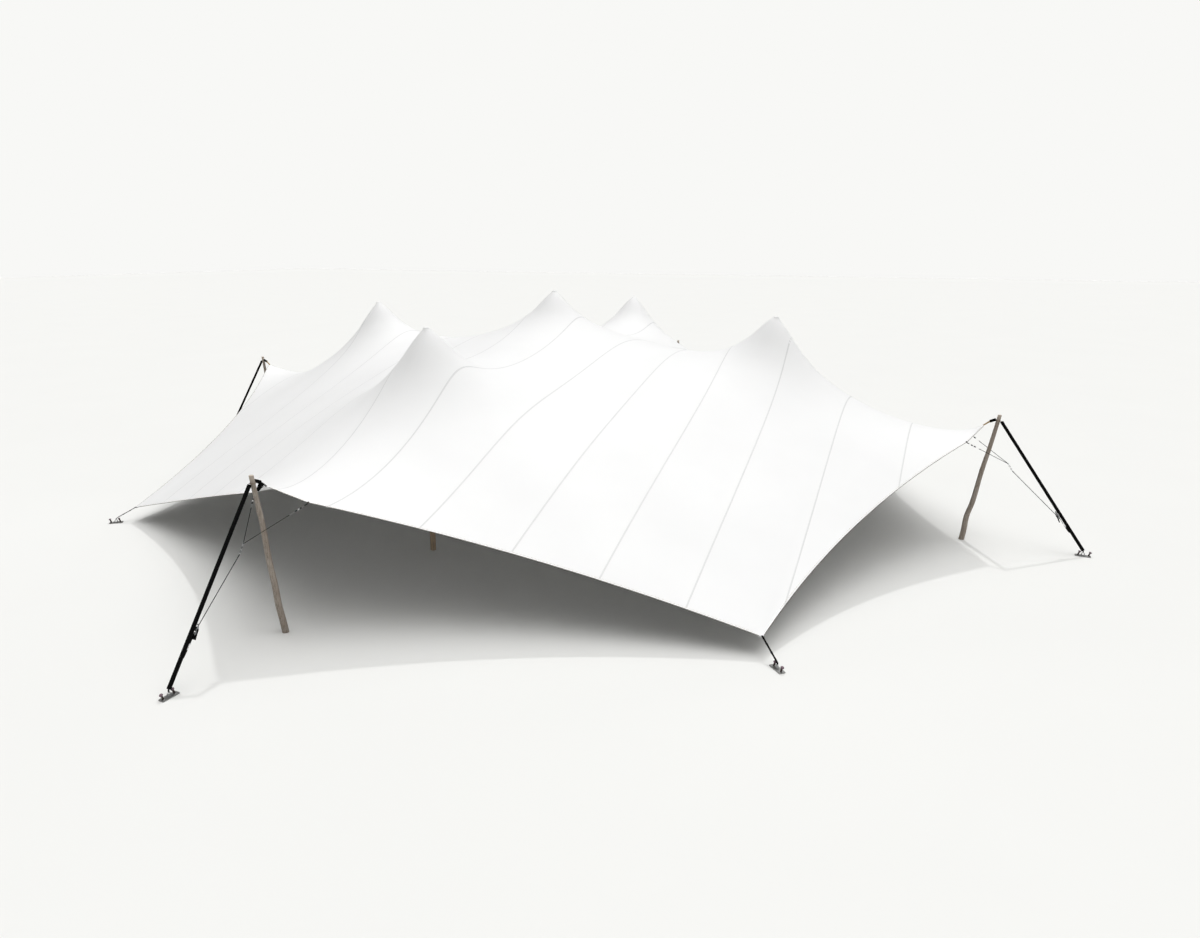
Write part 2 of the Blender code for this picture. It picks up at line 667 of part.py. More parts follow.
def build():
    clear_scene()
    parts = collection("Stretch tent")
    guides = collection("Corner guides")
    white = material("White stretch membrane", (0.90, 0.90, 0.89), 0.62)
    wood = material("Weathered pole wood", (0.21, 0.175, 0.145), 0.75)
    black = material("Black webbing", (0.012, 0.012, 0.013), 0.80)
    steel = material("Galvanised steel", (0.36, 0.37, 0.38), 0.45, 0.8)
    rope = material("Dark rope", (0.055, 0.055, 0.055), 0.80)
    grip = material("Handle steel", (0.16, 0.165, 0.17), 0.42, 0.7)

    surface = membrane()
    columns, rows = net_lines()
    seams = sorted(seam_marks() + [-LOW_XY])
    cuts = [columns[0]] + [seams[k] for k in PANEL_SEAMS] + [columns[-1]]
    for k, (low, high) in enumerate(zip(cuts[:-1], cuts[1:])):
        inside = [c for c in columns if low - 1e-6 <= c <= high + 1e-6]
        name = "canopy_panel_%d" % (k + 1)
        mesh = panel_mesh(name, np.array(inside), rows, surface, k == 0, k == len(cuts) - 2)
        placed(name, mesh, white, parts)

    for side, (x, y, top) in MASTS.items():
        mast = mast_object("mast_" + side, top, parts, wood)
        mast.location = (x, y, 0)

    anchor = anchor_mesh("anchor")
    low_strap = corner_strap_mesh("corner strap")
    strap = guy_strap_mesh("guy strap", False)
    front_strap = guy_strap_mesh("front guy strap", True)
    bridle = bridle_mesh("bridle", 0.0008)
    ratchet = ratchet_mesh("ratchet")
    handle = handle_mesh("ratchet handle")
    spindle = strap_point(0, SPINDLE_IN)
    for number, (side, degrees) in enumerate(RAISED):
        corner = corner_empty("corner_" + side, degrees, guides)
        pole = side_pole_mesh("side_pole_" + side, 1.3 * number)
        placed("side_pole_" + side, pole, wood, parts, corner, (POLE_FOOT_R, 0, 0))
        placed("guy_strap_" + side, front_strap if side == "front" else strap, black, parts, corner)
        placed("bridle_" + side, bridle, rope, parts, corner)
        placed("ratchet_" + side, ratchet, steel, parts, corner,
               (RATCHET_R, 0, RATCHET_Z), STRAP_ANGLE)
        placed("ratchet_handle_" + side, handle, grip, parts, corner,
               spindle, STRAP_ANGLE + HANDLE_TILT)
        placed("anchor_" + side, anchor, steel, parts, corner, (ANCHOR_R, 0, 0))
    for side, degrees in LOW:
        corner = corner_empty("corner_" + side, degrees, guides)
        placed("corner_strap_" + side, low_strap, black, parts, corner)
        placed("anchor_" + side, anchor, steel, parts, corner, (LOW_ANCHOR_R, 0, 0))


build()
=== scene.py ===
import math

import bmesh
import bpy
import numpy as np
from mathutils import Matrix, Vector, noise


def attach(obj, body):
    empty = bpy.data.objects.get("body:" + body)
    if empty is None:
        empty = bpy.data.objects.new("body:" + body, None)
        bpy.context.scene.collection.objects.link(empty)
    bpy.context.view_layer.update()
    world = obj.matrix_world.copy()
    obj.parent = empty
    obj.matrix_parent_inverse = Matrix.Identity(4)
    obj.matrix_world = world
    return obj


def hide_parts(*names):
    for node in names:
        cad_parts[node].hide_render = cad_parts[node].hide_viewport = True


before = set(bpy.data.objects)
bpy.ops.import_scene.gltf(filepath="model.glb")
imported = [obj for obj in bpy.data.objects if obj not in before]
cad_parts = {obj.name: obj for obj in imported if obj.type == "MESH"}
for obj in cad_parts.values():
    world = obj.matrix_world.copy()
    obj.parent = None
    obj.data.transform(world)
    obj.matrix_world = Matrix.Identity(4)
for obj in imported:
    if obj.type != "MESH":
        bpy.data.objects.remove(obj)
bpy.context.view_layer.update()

# Stretch tent. Everything at a corner is made along a local +X that points away from
# the tent, with +Y along the edge, and is then turned into place round the middle.

# Membrane, metres
TIP_R = 9.755
TIP_Z = 2.475
TIP_CUT_R = 9.74
LOW_R = 9.84
LOW_Z = 0.315
CLAMP_SIDE = 0.561
CLAMP_OUT = 9.460
CLAMP_Z = 2.205
EDGE_BOW = 0.346
CLOTH_WIDTH = 1.28
SEAM_OFFSET = 0.71
SEAM_PULL = 0.55
CONE_REACH = 0.80
PEAK_RISE = 0.335
PEAK_REACH = 0.593
PEAK_ROUND = 0.03
BILLOW = 0.014
# how fast the cloth falls away over a mast's blunt head, and beyond the head's edge
HEAD_FALL = 2.2
HEAD_DROP = 60.0
CLOTH_THICK = 0.003
HEM_TURN = 0.034
HEM_CORD_RADIUS = 0.0045
TAPE_HALF = 0.013
SEAM_STITCH_PITCH = 0.052
HEM_STITCH_PITCH = 0.060
# the wale is 1.2 mm on the real cloth, drawn coarser so that it shows from close by
KNIT_PITCH = 0.006
# spacing of the net that finds the heights, across and along, and of the drawn sheet
COLUMN_STEP = 0.16
ROW_STEP = 0.008
NET_STEP = 0.125

# Masts and side poles
MAST_R = 5.47
MAST_Z = 4.50
CENTRE_Z = 4.94
MAST_FOOT_RADIUS = 0.055
MAST_HEAD_RADIUS = 0.043
BAND_LOW = 0.44
BAND_HIGH = 0.50
POLE_FOOT_R = 9.551
POLE_TOP_R = 10.003
POLE_HEIGHT = 2.70
POLE_FOOT_RADIUS = 0.055
POLE_TOP_RADIUS = 0.036
# the side poles' wood is drawn paler above this height
PALE_TOP_FROM = 2.59
# how far each side pole's lower third grew outward of its line
POLE_CROOK = {"front": 0.020, "right": -0.036, "back": 0.024, "left": -0.022}

# Straps and anchors
STRAP_HEAD = (10.035, 2.580)
STRAP_FOOT = (11.685, 0.158)
STRAP_HALF = 0.029
SLEEVE_ENDS = (10.046, 11.714)
LEG_HEAD = (9.944, 2.602)
LEG_FOOT = (9.838, 2.554)
COLLAR_Z = 2.575
ANCHOR_R = 11.72
LOW_ANCHOR_R = 10.25
PLATE = (0.27, 0.105, 0.015)
STAKE_STEP = 0.09
STAKE_FOOT_Z = 0.006
STAKE_TOP_Z = 0.090
STAKE_LEAN = math.radians(20)
BOW_RADIUS = 0.028
BOW_BAR = 0.007

# Ratchet
RATCHET_R = 11.25
SPINDLE_IN = 0.066
ROLL_RADIUS = 0.018
ROLL_TURNS = 3.0
FRAME_INNER_Y = 0.028
FRAME_PLATE = 0.003
HANDLE_INNER_Y = 0.0365
HANDLE_LENGTH = 0.125
HANDLE_TILT = math.radians(8)
HOOK_END = 0.280
# level of the webbing and the cross bars, off the line of the strap
WEBBING_Z = -0.047

# Bridle
BRIDLE_JOIN = (10.25, 1.715)
BRIDLE_LINK = (10.345, 1.558)
# length, radius and look of what hangs between a clamp and its line
BEADS = ((0.050, 0.0014, 2), (0.040, 0.0120, 1), (0.032, 0.0105, 2), (0.054, 0.0120, 1),
         (0.090, 0.0014, 2))
LAY_LENGTH = 0.16
JOIN_RING = (0.013, 0.0036)
# length and look of the links below the join; each overlaps the next by 7 mm
LINKS = ((0.036, 4), (0.034, 1), (0.044, 4), (0.034, 1), (0.036, 4))

# Studio light
SKY_TOP = 3.72
SKY_LOW = 0.12
SKY_POWER = 6.0
SKY_AXIS = (0.14, 0.0, 0.99)
KEY_STRENGTH = 0.71
KEY_FROM = (-0.125, 0.57, 1.0)
KEY_ANGLE = math.radians(2.0)
FLOOR_REACH = 160.0
FLOOR_Z = -0.0005

# Camera: degrees it looks down, and round from the front
CAMERA_PLACE = (9.254, -18.502, 6.005)
CAMERA_DOWN = 11.966
CAMERA_ROUND = 26.615
LENS = 24.73
LENS_SHIFT = (0.0388, -0.0398)

UP = np.array([0.0, 0.0, 1.0])
ACROSS = (0, 1, 0)
RAISED = (("front", -90), ("right", 0), ("back", 90), ("left", 180))
LOW = (("front_right", -45), ("back_right", 45), ("back_left", 135), ("front_left", -135))

LOW_XY = LOW_R / math.sqrt(2)
BLUNT = (TIP_R - TIP_CUT_R) / (TIP_R - CLAMP_OUT)
STRAP_SLOPE = (STRAP_FOOT[1] - STRAP_HEAD[1]) / (STRAP_FOOT[0] - STRAP_HEAD[0])
STRAP_ANGLE = math.atan(-STRAP_SLOPE)
RATCHET_Z = STRAP_HEAD[1] + (RATCHET_R - STRAP_HEAD[0]) * STRAP_SLOPE
MASTS = {
    "centre": (0.0, 0.0, CENTRE_Z),
    "front": (0.0, -MAST_R, MAST_Z),
    "right": (MAST_R, 0.0, MAST_Z),
    "back": (0.0, MAST_R, MAST_Z),
    "left": (-MAST_R, 0.0, MAST_Z),
}


# The shape of the membrane

def edge_curve(count=400):
    """One edge: straight from the front tip to the clamp, then bowed to the low corner."""
    t = np.linspace(0.0, 1.0, count)
    start = np.array([CLAMP_SIDE, -CLAMP_OUT])
    run = np.array([LOW_XY, -LOW_XY]) - start
    inward = np.array([-run[1], run[0]]) / np.hypot(*run)
    bow = 4 * t * (1 - t) * EDGE_BOW
    x = start[0] + run[0] * t + inward[0] * bow
    y = start[1] + run[1] * t + inward[1] * bow
    z = CLAMP_Z + (LOW_Z - CLAMP_Z) * t
    return np.append(0.0, x), np.append(-TIP_R, y), np.append(TIP_Z, z)


EDGE = edge_curve()


def edge_at(x):
    """Y and height of the front edge at each X, the same on both sides; the tips are cut blunt."""
    ex, ey, ez = EDGE
    x = np.abs(x)
    near = x <= LOW_XY
    y = np.where(near, np.interp(x, ex, ey), np.interp(x, -ey[::-1], -ex[::-1]))
    z = np.where(near, np.interp(x, ex, ez), np.interp(x, -ey[::-1], ez[::-1]))
    return np.maximum(y, -TIP_CUT_R), np.minimum(z, TIP_Z - (TIP_Z - CLAMP_Z) * BLUNT)


def filled(marks, step):
    """The marks with even steps between them."""
    values = []
    for low, high in zip(marks[:-1], marks[1:]):
        parts = max(1, math.ceil((high - low) / step - 0.05))
        values.extend(np.linspace(low, high, parts, endpoint=False))
    values.append(marks[-1])
    return np.array(values)


def seam_marks():
    """X of the seams, without the one that joins the two left low corners."""
    seams = [SEAM_OFFSET + CLOTH_WIDTH * k for k in range(-7, 7)]
    return [s for s in seams if abs(s + LOW_XY) > 0.05]


def row_value(y):
    """Row parameter of a Y on the middle column: 0 at the front tip, 1 at the back."""
    return 0.5 * (1 + y / TIP_CUT_R)


def knots(columns, half):
    """Rows from one half of them, X and Y of every knot, and the rim's height per column."""
    rows = np.concatenate([half, 1 - half[-2::-1]])
    rim_y, rim_z = edge_at(columns)
    return rows, np.repeat(columns[:, None], len(rows), 1), rim_y[:, None] * (1 - 2 * rows[None, :]), rim_z


def corner_angle_weight(a, b, c):
    """Cotangent of the angle at a, between the ways to b and to c."""
    u = b - a
    v = c - a
    cross = np.abs(u[..., 0] * v[..., 1] - u[..., 1] * v[..., 0])
    return (u * v).sum(-1) / np.maximum(cross, 1e-9)


def tension_links(x, y):
    """Link weights of an even tension on the net, and the area at each knot."""
    p = np.stack([x, y], -1)
    m, n = x.shape
    along = np.zeros((m - 1, n))
    across = np.zeros((m, n - 1))
    rising = np.zeros((m - 1, n - 1))
    falling = np.zeros((m - 1, n - 1))
    p00, p10, p01, p11 = p[:-1, :-1], p[1:, :-1], p[:-1, 1:], p[1:, 1:]
    # the four ways to take three corners of a mesh, and the link opposite each corner
    for corners, links in (((p00, p10, p11), (across[1:], rising, along[:, :-1])),
                           ((p00, p11, p01), (along[:, 1:], across[:-1], rising)),
                           ((p10, p11, p01), (along[:, 1:], falling, across[1:])),
                           ((p10, p01, p00), (across[:-1], along[:, :-1], falling))):
        for k, link in enumerate(links):
            link += 0.25 * corner_angle_weight(corners[k], corners[k - 2], corners[k - 1])
    side_a = p11 - p00
    side_b = p01 - p10
    quad = 0.5 * np.abs(side_a[..., 0] * side_b[..., 1] - side_a[..., 1] * side_b[..., 0])
    area = np.zeros((m, n))
    for rows in (slice(None, -1), slice(1, None)):
        for cols in (slice(None, -1), slice(1, None)):
            area[rows, cols] += quad / 4
    return (along, across, rising, falling), area


def settled(z, links, load, free, sweeps=900, radius=0.9985, ease=0.9):
    """Heights at which the tension of the net carries the load, by quickened sweeps."""
    every, first, last = slice(None), slice(None, -1), slice(1, None)
    pairs = (((first, every), (last, every)), ((every, first), (every, last)),
             ((first, first), (last, last)), ((last, first), (first, last)))
    ties = []
    for link, (here, there) in zip(links, pairs):
        ties += [(link, here, there), (link, there, here)]
    total = np.zeros_like(z)
    for link, here, there in ties:
        total[here] += link
    before = z.copy()
    pace = 1.0
    for sweep in range(sweeps):
        pull = load.copy()
        for link, here, there in ties:
            pull[here] += link * z[there]
        if sweep == 1:
            pace = 1 / (1 - radius ** 2 / 2)
        elif sweep > 1:
            pace = 1 / (1 - radius ** 2 * pace / 4)
        after = pace * (ease * (pull / total - z) + z - before) + before
        before, z = z, np.where(free, after, z)
    return z


def steep_peak(away):
    """Height of the steep cone at a mast head, over the broad rise around it."""
    reach = np.sqrt(away ** 2 + PEAK_ROUND ** 2) / PEAK_REACH
    return PEAK_RISE * np.maximum(1 - reach, 0.0) ** 1.5


def stretched_net():
    """Columns, row parameters and heights without the steep peaks.

    The rim is held, the whole billows up slightly and each mast gives it a broad rise.
    """
    marks = sorted(seam_marks() + [-TIP_CUT_R, -LOW_XY, -MAST_R, 0.0, MAST_R, LOW_XY, TIP_CUT_R])
    columns = filled(marks, COLUMN_STEP)
    half = filled([row_value(-TIP_CUT_R), row_value(-MAST_R), 0.5], ROW_STEP)
    rows, x, y, rim_z = knots(columns, half)
    links, area = tension_links(x, y)
    free = np.ones(x.shape, bool)
    free[:, 0] = free[:, -1] = free[0] = free[-1] = False
    rim = np.zeros(x.shape)
    rim[:, 0] = rim[:, -1] = rim_z
    rim[0] = rim_z[0]
    rim[-1] = rim_z[-1]

    def lift(spots):
        load = np.zeros(x.shape)
        for a, b in spots:
            away = np.hypot(x - a, y - b)
            load += area * np.maximum(1 - (away / CONE_REACH) ** 2, 0.0)
        return settled(np.zeros(x.shape), links, load, free)

    base = settled(rim, links, BILLOW * area, free)
    middle = lift([(0, 0)])
    outer = lift([(0, -MAST_R), (0, MAST_R), (-MAST_R, 0), (MAST_R, 0)])
    centre = (int(np.argmin(abs(columns))), int(np.argmin(abs(rows - 0.5))))
    side = (int(np.argmin(abs(columns - MAST_R))), centre[1])
    front = (centre[0], int(np.argmin(abs(rows - row_value(-MAST_R)))))

    def outer_mean(field):
        return 0.5 * (field[side] + field[front])

    system = np.array([[middle[centre], outer[centre]], [outer_mean(middle), outer_mean(outer)]])
    wanted = np.array([CENTRE_Z - base[centre], MAST_Z - outer_mean(base)]) - steep_peak(0.0)
    share = np.linalg.solve(system, wanted)
    return columns, rows, base + share[0] * middle + share[1] * outer


class Membrane:
    """Height of the stretched cloth anywhere on it, smooth between the knots of its net."""

    def __init__(self):
        self.columns, self.rows, self.z = stretched_net()
        self.by_x = np.gradient(self.z, self.columns, axis=0)
        self.by_t = np.gradient(self.z, self.rows, axis=1)
        self.by_xt = np.gradient(self.by_x, self.rows, axis=1)

    def height(self, x, y):
        x, y = np.broadcast_arrays(np.asarray(x, float), np.asarray(y, float))
        t = np.clip(0.5 * (1 - y / edge_at(x)[0]), 0.0, 1.0)
        i = np.clip(np.searchsorted(self.columns, x) - 1, 0, len(self.columns) - 2)
        j = np.clip(np.searchsorted(self.rows, t) - 1, 0, len(self.rows) - 2)
        wide = self.columns[i + 1] - self.columns[i]
        long = self.rows[j + 1] - self.rows[j]
        a = np.clip((x - self.columns[i]) / wide, 0.0, 1.0)
        b = (t - self.rows[j]) / long
        z = np.zeros(x.shape)
        for di, (fa, ga) in enumerate(self.blend(a)):
            for dj, (fb, gb) in enumerate(self.blend(b)):
                at = (i + di, j + dj)
                z += self.z[at] * fa * fb + self.by_x[at] * wide * ga * fb
                z += self.by_t[at] * long * fa * gb + self.by_xt[at] * wide * long * ga * gb
        aways = [(np.hypot(x - px, y - py), top) for px, py, top in MASTS.values()]
        z += sum(steep_peak(away) for away, top in aways)
        for away, top in aways:
            beyond = np.maximum(away - MAST_HEAD_RADIUS, 0.0)
            z = np.maximum(z, top - HEAD_FALL * away ** 2 - HEAD_DROP * beyond ** 2)
        return z

    @staticmethod
    def blend(a):
        keep = 2 * a ** 3 - 3 * a ** 2 + 1
        return (keep, a ** 3 - 2 * a ** 2 + a), (1 - keep, a ** 3 - a ** 2)


cloth = Membrane()


# Making meshes

class Stock:
    """Faces gathered for one piece. The UV is in metres: along the piece, then round it."""

    def __init__(self):
        self.points = []
        self.faces = []
        self.uv = []
        self.look = []

    def loft(self, rings, look=0, closed=False, place=None):
        """Skin over a row of rings, with flat ends or, when closed, joined into a loop."""
        rings = np.asarray(rings, float)
        if place is not None:
            rings = moved(rings, place)
        m, n = rings.shape[:2]
        start = len(self.points)
        self.points.extend(map(tuple, rings.reshape(-1, 3)))
        middles = rings.mean(1)
        steps = np.linalg.norm(np.roll(middles, -1, 0) - middles, axis=1)
        along = np.concatenate([[0.0], np.cumsum(steps)])
        sides = np.linalg.norm(np.roll(rings, -1, 1) - rings, axis=2).mean(0)
        around = np.concatenate([[0.0], np.cumsum(sides)])
        for i in range(m if closed else m - 1):
            a, b = start + i * n, start + (i + 1) % m * n
            u, w = along[i], along[i + 1]
            for j in range(n):
                q = (j + 1) % n
                self.faces.append((a + j, a + q, b + q, b + j))
                self.uv.append(((u, around[j]), (u, around[j + 1]), (w, around[j + 1]), (w, around[j])))
                self.look.append(look)
        if not closed:
            for i in (0, m - 1):
                self.faces.append(tuple(start + i * n + j for j in range(n)))
                reach = np.linalg.norm(rings[i] - middles[i], axis=1).max() + 1e-9
                self.uv.append(tuple((along[i] + reach * math.cos(a), reach * math.sin(a))
                                     for a in round_angles(n)))
                self.look.append(look)

    def run(self, points, profile, look=0, place=None, side=ACROSS, **shape):
        """A profile drawn along a path."""
        self.loft(path_rings(points, profile, side, **shape), look, place=place)

    def plate(self, outline, low, high, look=0, place=None, axis="Y", chamfer=0.0006):
        """A plate cut to an outline, with its edges broken."""
        low, high = sorted((low, high))
        o = np.asarray(outline, float)
        middle = o.mean(0)
        reach = np.linalg.norm(o - middle, axis=1)[:, None]
        inner = middle + (o - middle) * (1 - chamfer / reach)
        levels = ((inner, low), (o, low + chamfer), (o, high - chamfer), (inner, high))
        rings = [[(a, level, b) if axis == "Y" else (a, b, level) for a, b in shape]
                 for shape, level in levels]
        self.loft(rings, look, place=place)

    def turned(self, outline, sides, look=0, place=None, centre=(0, 0, 0), closed=False):
        """A turned shape from (radius, height) pairs."""
        x, y, up = centre
        rings = [[(x + r * math.cos(a), y + r * math.sin(a), up + z) for a in round_angles(sides)]
                 for r, z in outline]
        self.loft(rings, look, closed, place)

    def mesh(self, name, looks, degrees=0.0, sharp=38):
        """The mesh, turned round the middle of the tent by some degrees."""
        made = bpy.data.meshes.new(name)
        points = self.points
        if degrees:
            points = moved(np.array(points), turn_about("Z", degrees))
        made.from_pydata([tuple(p) for p in points], [], self.faces)
        layer = made.uv_layers.new(name="Lengths")
        layer.data.foreach_set("uv", np.array([c for face in self.uv for c in face]).ravel())
        made.polygons.foreach_set("material_index", self.look)
        for look in looks:
            made.materials.append(look)
        bm = bmesh.new()
        bm.from_mesh(made)
        bmesh.ops.recalc_face_normals(bm, faces=bm.faces[:])
        bm.to_mesh(made)
        bm.free()
        made.shade_smooth()
        made.set_sharp_from_angle(angle=math.radians(sharp))
        return made


def unit(vectors):
    return vectors / np.linalg.norm(vectors, axis=-1, keepdims=True)


def turn_about(axis, degrees):
    return Matrix.Rotation(math.radians(degrees), 4, axis)


def moved(points, place):
    """Points of any array shape, taken through a matrix."""
    m = np.array(place)
    return np.asarray(points) @ m[:3, :3].T + m[:3, 3]


def round_angles(count):
    return 2 * math.pi * np.arange(count) / count


def round_profile(radius, sides=12, flat=1.0):
    a = round_angles(sides)
    return np.stack([radius * np.cos(a), radius * flat * np.sin(a)], 1)


def band_profile(width, thick, bulge=0.0):
    """A flat band with round edges; bulge lifts its middle on both faces."""
    w, t = width / 2, thick / 2
    half = [(w, 0), (w - 0.25 * t, 0.7 * t), (w - 0.9 * t, t), (0.45 * w, t + 0.7 * bulge), (0, t + bulge)]
    upper = half + [(-x, y) for x, y in half[-2::-1]]
    return np.array(upper + [(-x, -y) for x, y in upper[1:-1]])


def path_rings(points, profile, side=None, scale=None, twist=0.0):
    """The profile's (across, out) points set square to a path; side is the way across."""
    p = np.asarray(points, float)
    tangent = unit(np.gradient(p, axis=0))
    if side is None:
        axis = np.argmin(np.abs(tangent[0]))
        across = np.cross(tangent[0], np.eye(3)[axis])
        rows = []
        for d in tangent:
            across = unit(across - d * (across @ d))
            rows.append(across)
        across = np.array(rows)
    else:
        side = np.asarray(side, float)
        across = unit(side - tangent * (tangent @ side)[:, None])
    out = np.cross(tangent, across)
    if scale is None:
        scale = np.ones(len(p))
    lengths = np.concatenate([[0], np.cumsum(np.linalg.norm(np.diff(p, axis=0), axis=1))])
    rings = []
    for k in range(len(p)):
        turn = twist * lengths[k]
        c, s = math.cos(turn), math.sin(turn)
        a = profile[:, 0] * c - profile[:, 1] * s
        b = profile[:, 0] * s + profile[:, 1] * c
        rings.append(p[k] + scale[k] * (a[:, None] * across[k] + b[:, None] * out[k]))
    return np.array(rings)


def smooth_path(points, parts=6):
    """A curve through the points, with its ends kept."""
    p = np.asarray(points, float)
    q = np.vstack([2 * p[0] - p[1], p, 2 * p[-1] - p[-2]])
    rows = []
    for k in range(1, len(q) - 2):
        for t in np.linspace(0, 1, parts, endpoint=False):
            a, b, c, d = q[k - 1], q[k], q[k + 1], q[k + 2]
            rows.append(0.5 * (2 * b + (c - a) * t + (2 * a - 5 * b + 4 * c - d) * t ** 2
                               + (3 * b - a - 3 * c + d) * t ** 3))
    rows.append(p[-1])
    return np.array(rows)


def straight(a, b, parts):
    a, b = np.asarray(a, float), np.asarray(b, float)
    return a + (b - a) * np.linspace(0, 1, parts)[:, None]


def upright(*spots):
    """Points (x, z) of the upright plane through a corner, as (x, 0, z)."""
    return np.array([(x, 0.0, z) for x, z in spots])


def rounded_outline(width, height, radius, centre=(0, 0), steps=4):
    """Corner points of a rectangle with round corners."""
    rows = []
    for sx, sy, first in ((1, 1, 0), (-1, 1, 90), (-1, -1, 180), (1, -1, 270)):
        cx = centre[0] + sx * (width / 2 - radius)
        cy = centre[1] + sy * (height / 2 - radius)
        for k in range(steps + 1):
            a = math.radians(first + 90 * k / steps)
            rows.append((cx + radius * math.cos(a), cy + radius * math.sin(a)))
    return rows


# Materials

def linear(code):
    """An sRGB hex colour as a linear one."""
    parts = [int(code[k:k + 2], 16) / 255 for k in (0, 2, 4)]
    return tuple(c / 12.92 if c <= 0.04045 else ((c + 0.055) / 1.055) ** 2.4 for c in parts) + (1.0,)


def add(tree, kind, inputs=None, **settings):
    """One node with its settings; each input takes a value or the socket that feeds it."""
    made = tree.nodes.new(kind)
    for name, value in settings.items():
        setattr(made, name, value)
    for key, value in (inputs or {}).items():
        if isinstance(value, bpy.types.NodeSocket):
            tree.links.new(value, made.inputs[key])
        else:
            made.inputs[key].default_value = value
    return made


def new_material(name, colour, roughness, metallic=0.0, **constants):
    """A material with its shader; the constants go straight on to the shader's sockets."""
    made = bpy.data.materials.new(name)
    made.use_nodes = True
    tree = made.node_tree
    shader = tree.nodes["Principled BSDF"]
    shader.inputs["Base Color"].default_value = linear(colour)
    shader.inputs["Roughness"].default_value = roughness
    shader.inputs["Metallic"].default_value = metallic
    for key, value in constants.items():
        shader.inputs[key.replace("_", " ")].default_value = value
    return made, tree, shader


def mixed(tree, factor, a, b):
    """Colour between a and b, each a hex code or the socket that feeds it."""
    a, b = (linear(c) if isinstance(c, str) else c for c in (a, b))
    return add(tree, "ShaderNodeMix", {0: factor, 6: a, 7: b}, data_type="RGBA").outputs[2]


def ranged(tree, value, low, high, start=0.0, end=1.0):
    """Value between start and end, taken to low and high."""
    made = add(tree, "ShaderNodeMapRange", {0: value, 1: start, 2: end, 3: low, 4: high})
    return made.outputs[0]


def placed_coords(tree, scale=(1, 1, 1), source="Object"):
    coords = add(tree, "ShaderNodeTexCoord")
    made = add(tree, "ShaderNodeMapping", {"Vector": coords.outputs[source], "Scale": scale})
    return made.outputs[0]


def noise_spots(tree, scale, detail=2.0, stretch=(1, 1, 1), roughness=0.5):
    """Noise from 0 to 1 in the object's metres."""
    made = add(tree, "ShaderNodeTexNoise", {"Vector": placed_coords(tree, stretch), "Scale": scale,
                                            "Detail": detail, "Roughness": roughness})
    return made.outputs[0]


def wave_bands(tree, coords, scale, way, distortion=0.0, detail=2.0):
    made = add(tree, "ShaderNodeTexWave", {"Vector": coords, "Scale": scale, "Distortion": distortion,
                                           "Detail": detail}, bands_direction=way)
    return made.outputs[1]


def maths(tree, operation, *values):
    return add(tree, "ShaderNodeMath", dict(enumerate(values)), operation=operation).outputs[0]


def finished(made, tree, shader, tone=None, rough=None, relief=None, depth=0.0, strength=1.0):
    """The material, with its colour, roughness and relief fed to the shader."""
    for key, value in (("Base Color", tone), ("Roughness", rough)):
        if value is not None:
            tree.links.new(value, shader.inputs[key])
    if relief is not None:
        bump = add(tree, "ShaderNodeBump", {"Height": relief, "Distance": depth, "Strength": strength})
        tree.links.new(bump.outputs[0], shader.inputs["Normal"])
    return made


def coated_stretch_knit():
    """Polyester and elastane knit with a thin coat: matt bright white, with a fine wale
    that softens the light and faint dust and stretch marks over whole cloth widths."""
    made = new_material("coated_stretch_knit", "EDEDED", 0.62, Sheen_Weight=0.08,
                        Sheen_Roughness=0.45, Specular_IOR_Level=0.28)
    tree = made[1]
    broad = noise_spots(tree, 0.55, 4.0)
    dust = mixed(tree, ranged(tree, broad, 0.0, 1.0, 0.35, 0.75), "EEEEEE", "EAEAEA")
    scale = 2 / (KNIT_PITCH * 6.2832)
    wale = wave_bands(tree, placed_coords(tree), scale, "Y", 0.6, 1.0)
    course = wave_bands(tree, placed_coords(tree), scale, "X", 0.6, 1.0)
    return finished(*made, dust, ranged(tree, broad, 0.56, 0.68), maths(tree, "ADD", wale, course),
                    0.0004, 0.35)


def seam_tape():
    """Welded cover tape over a sewn seam: the same white, a little greyer and smoother."""
    made = new_material("seam_tape", "D8D8D8", 0.5, Specular_IOR_Level=0.35)
    spots = noise_spots(made[1], 9.0, 3.0)
    tone = mixed(made[1], spots, "D4D4D4", "DCDCDC")
    return finished(*made, tone, relief=spots, depth=0.0006, strength=0.4)


def webbing(name, dark, light, pitch, roughness=0.82):
    """Woven webbing or plaited cord: a herringbone of dull yarns that catches a little light."""
    made = new_material(name, dark, roughness, Specular_IOR_Level=0.12)
    tree = made[1]
    uv = placed_coords(tree, source="UV")
    yarn = wave_bands(tree, uv, 1 / pitch / 3.1416, "DIAGONAL", 1.2, 1.0)
    weave = maths(tree, "MULTIPLY", yarn, wave_bands(tree, uv, 1 / pitch / 4.5, "Y"))
    rub = ranged(tree, noise_spots(tree, 14.0, 4.0), 0.0, 0.35, 0.5, 0.8)
    tone = mixed(tree, ranged(tree, weave, 0.0, 0.7), dark, light)
    return finished(*made, mixed(tree, rub, tone, light), None, weave, 0.0012, 0.7)


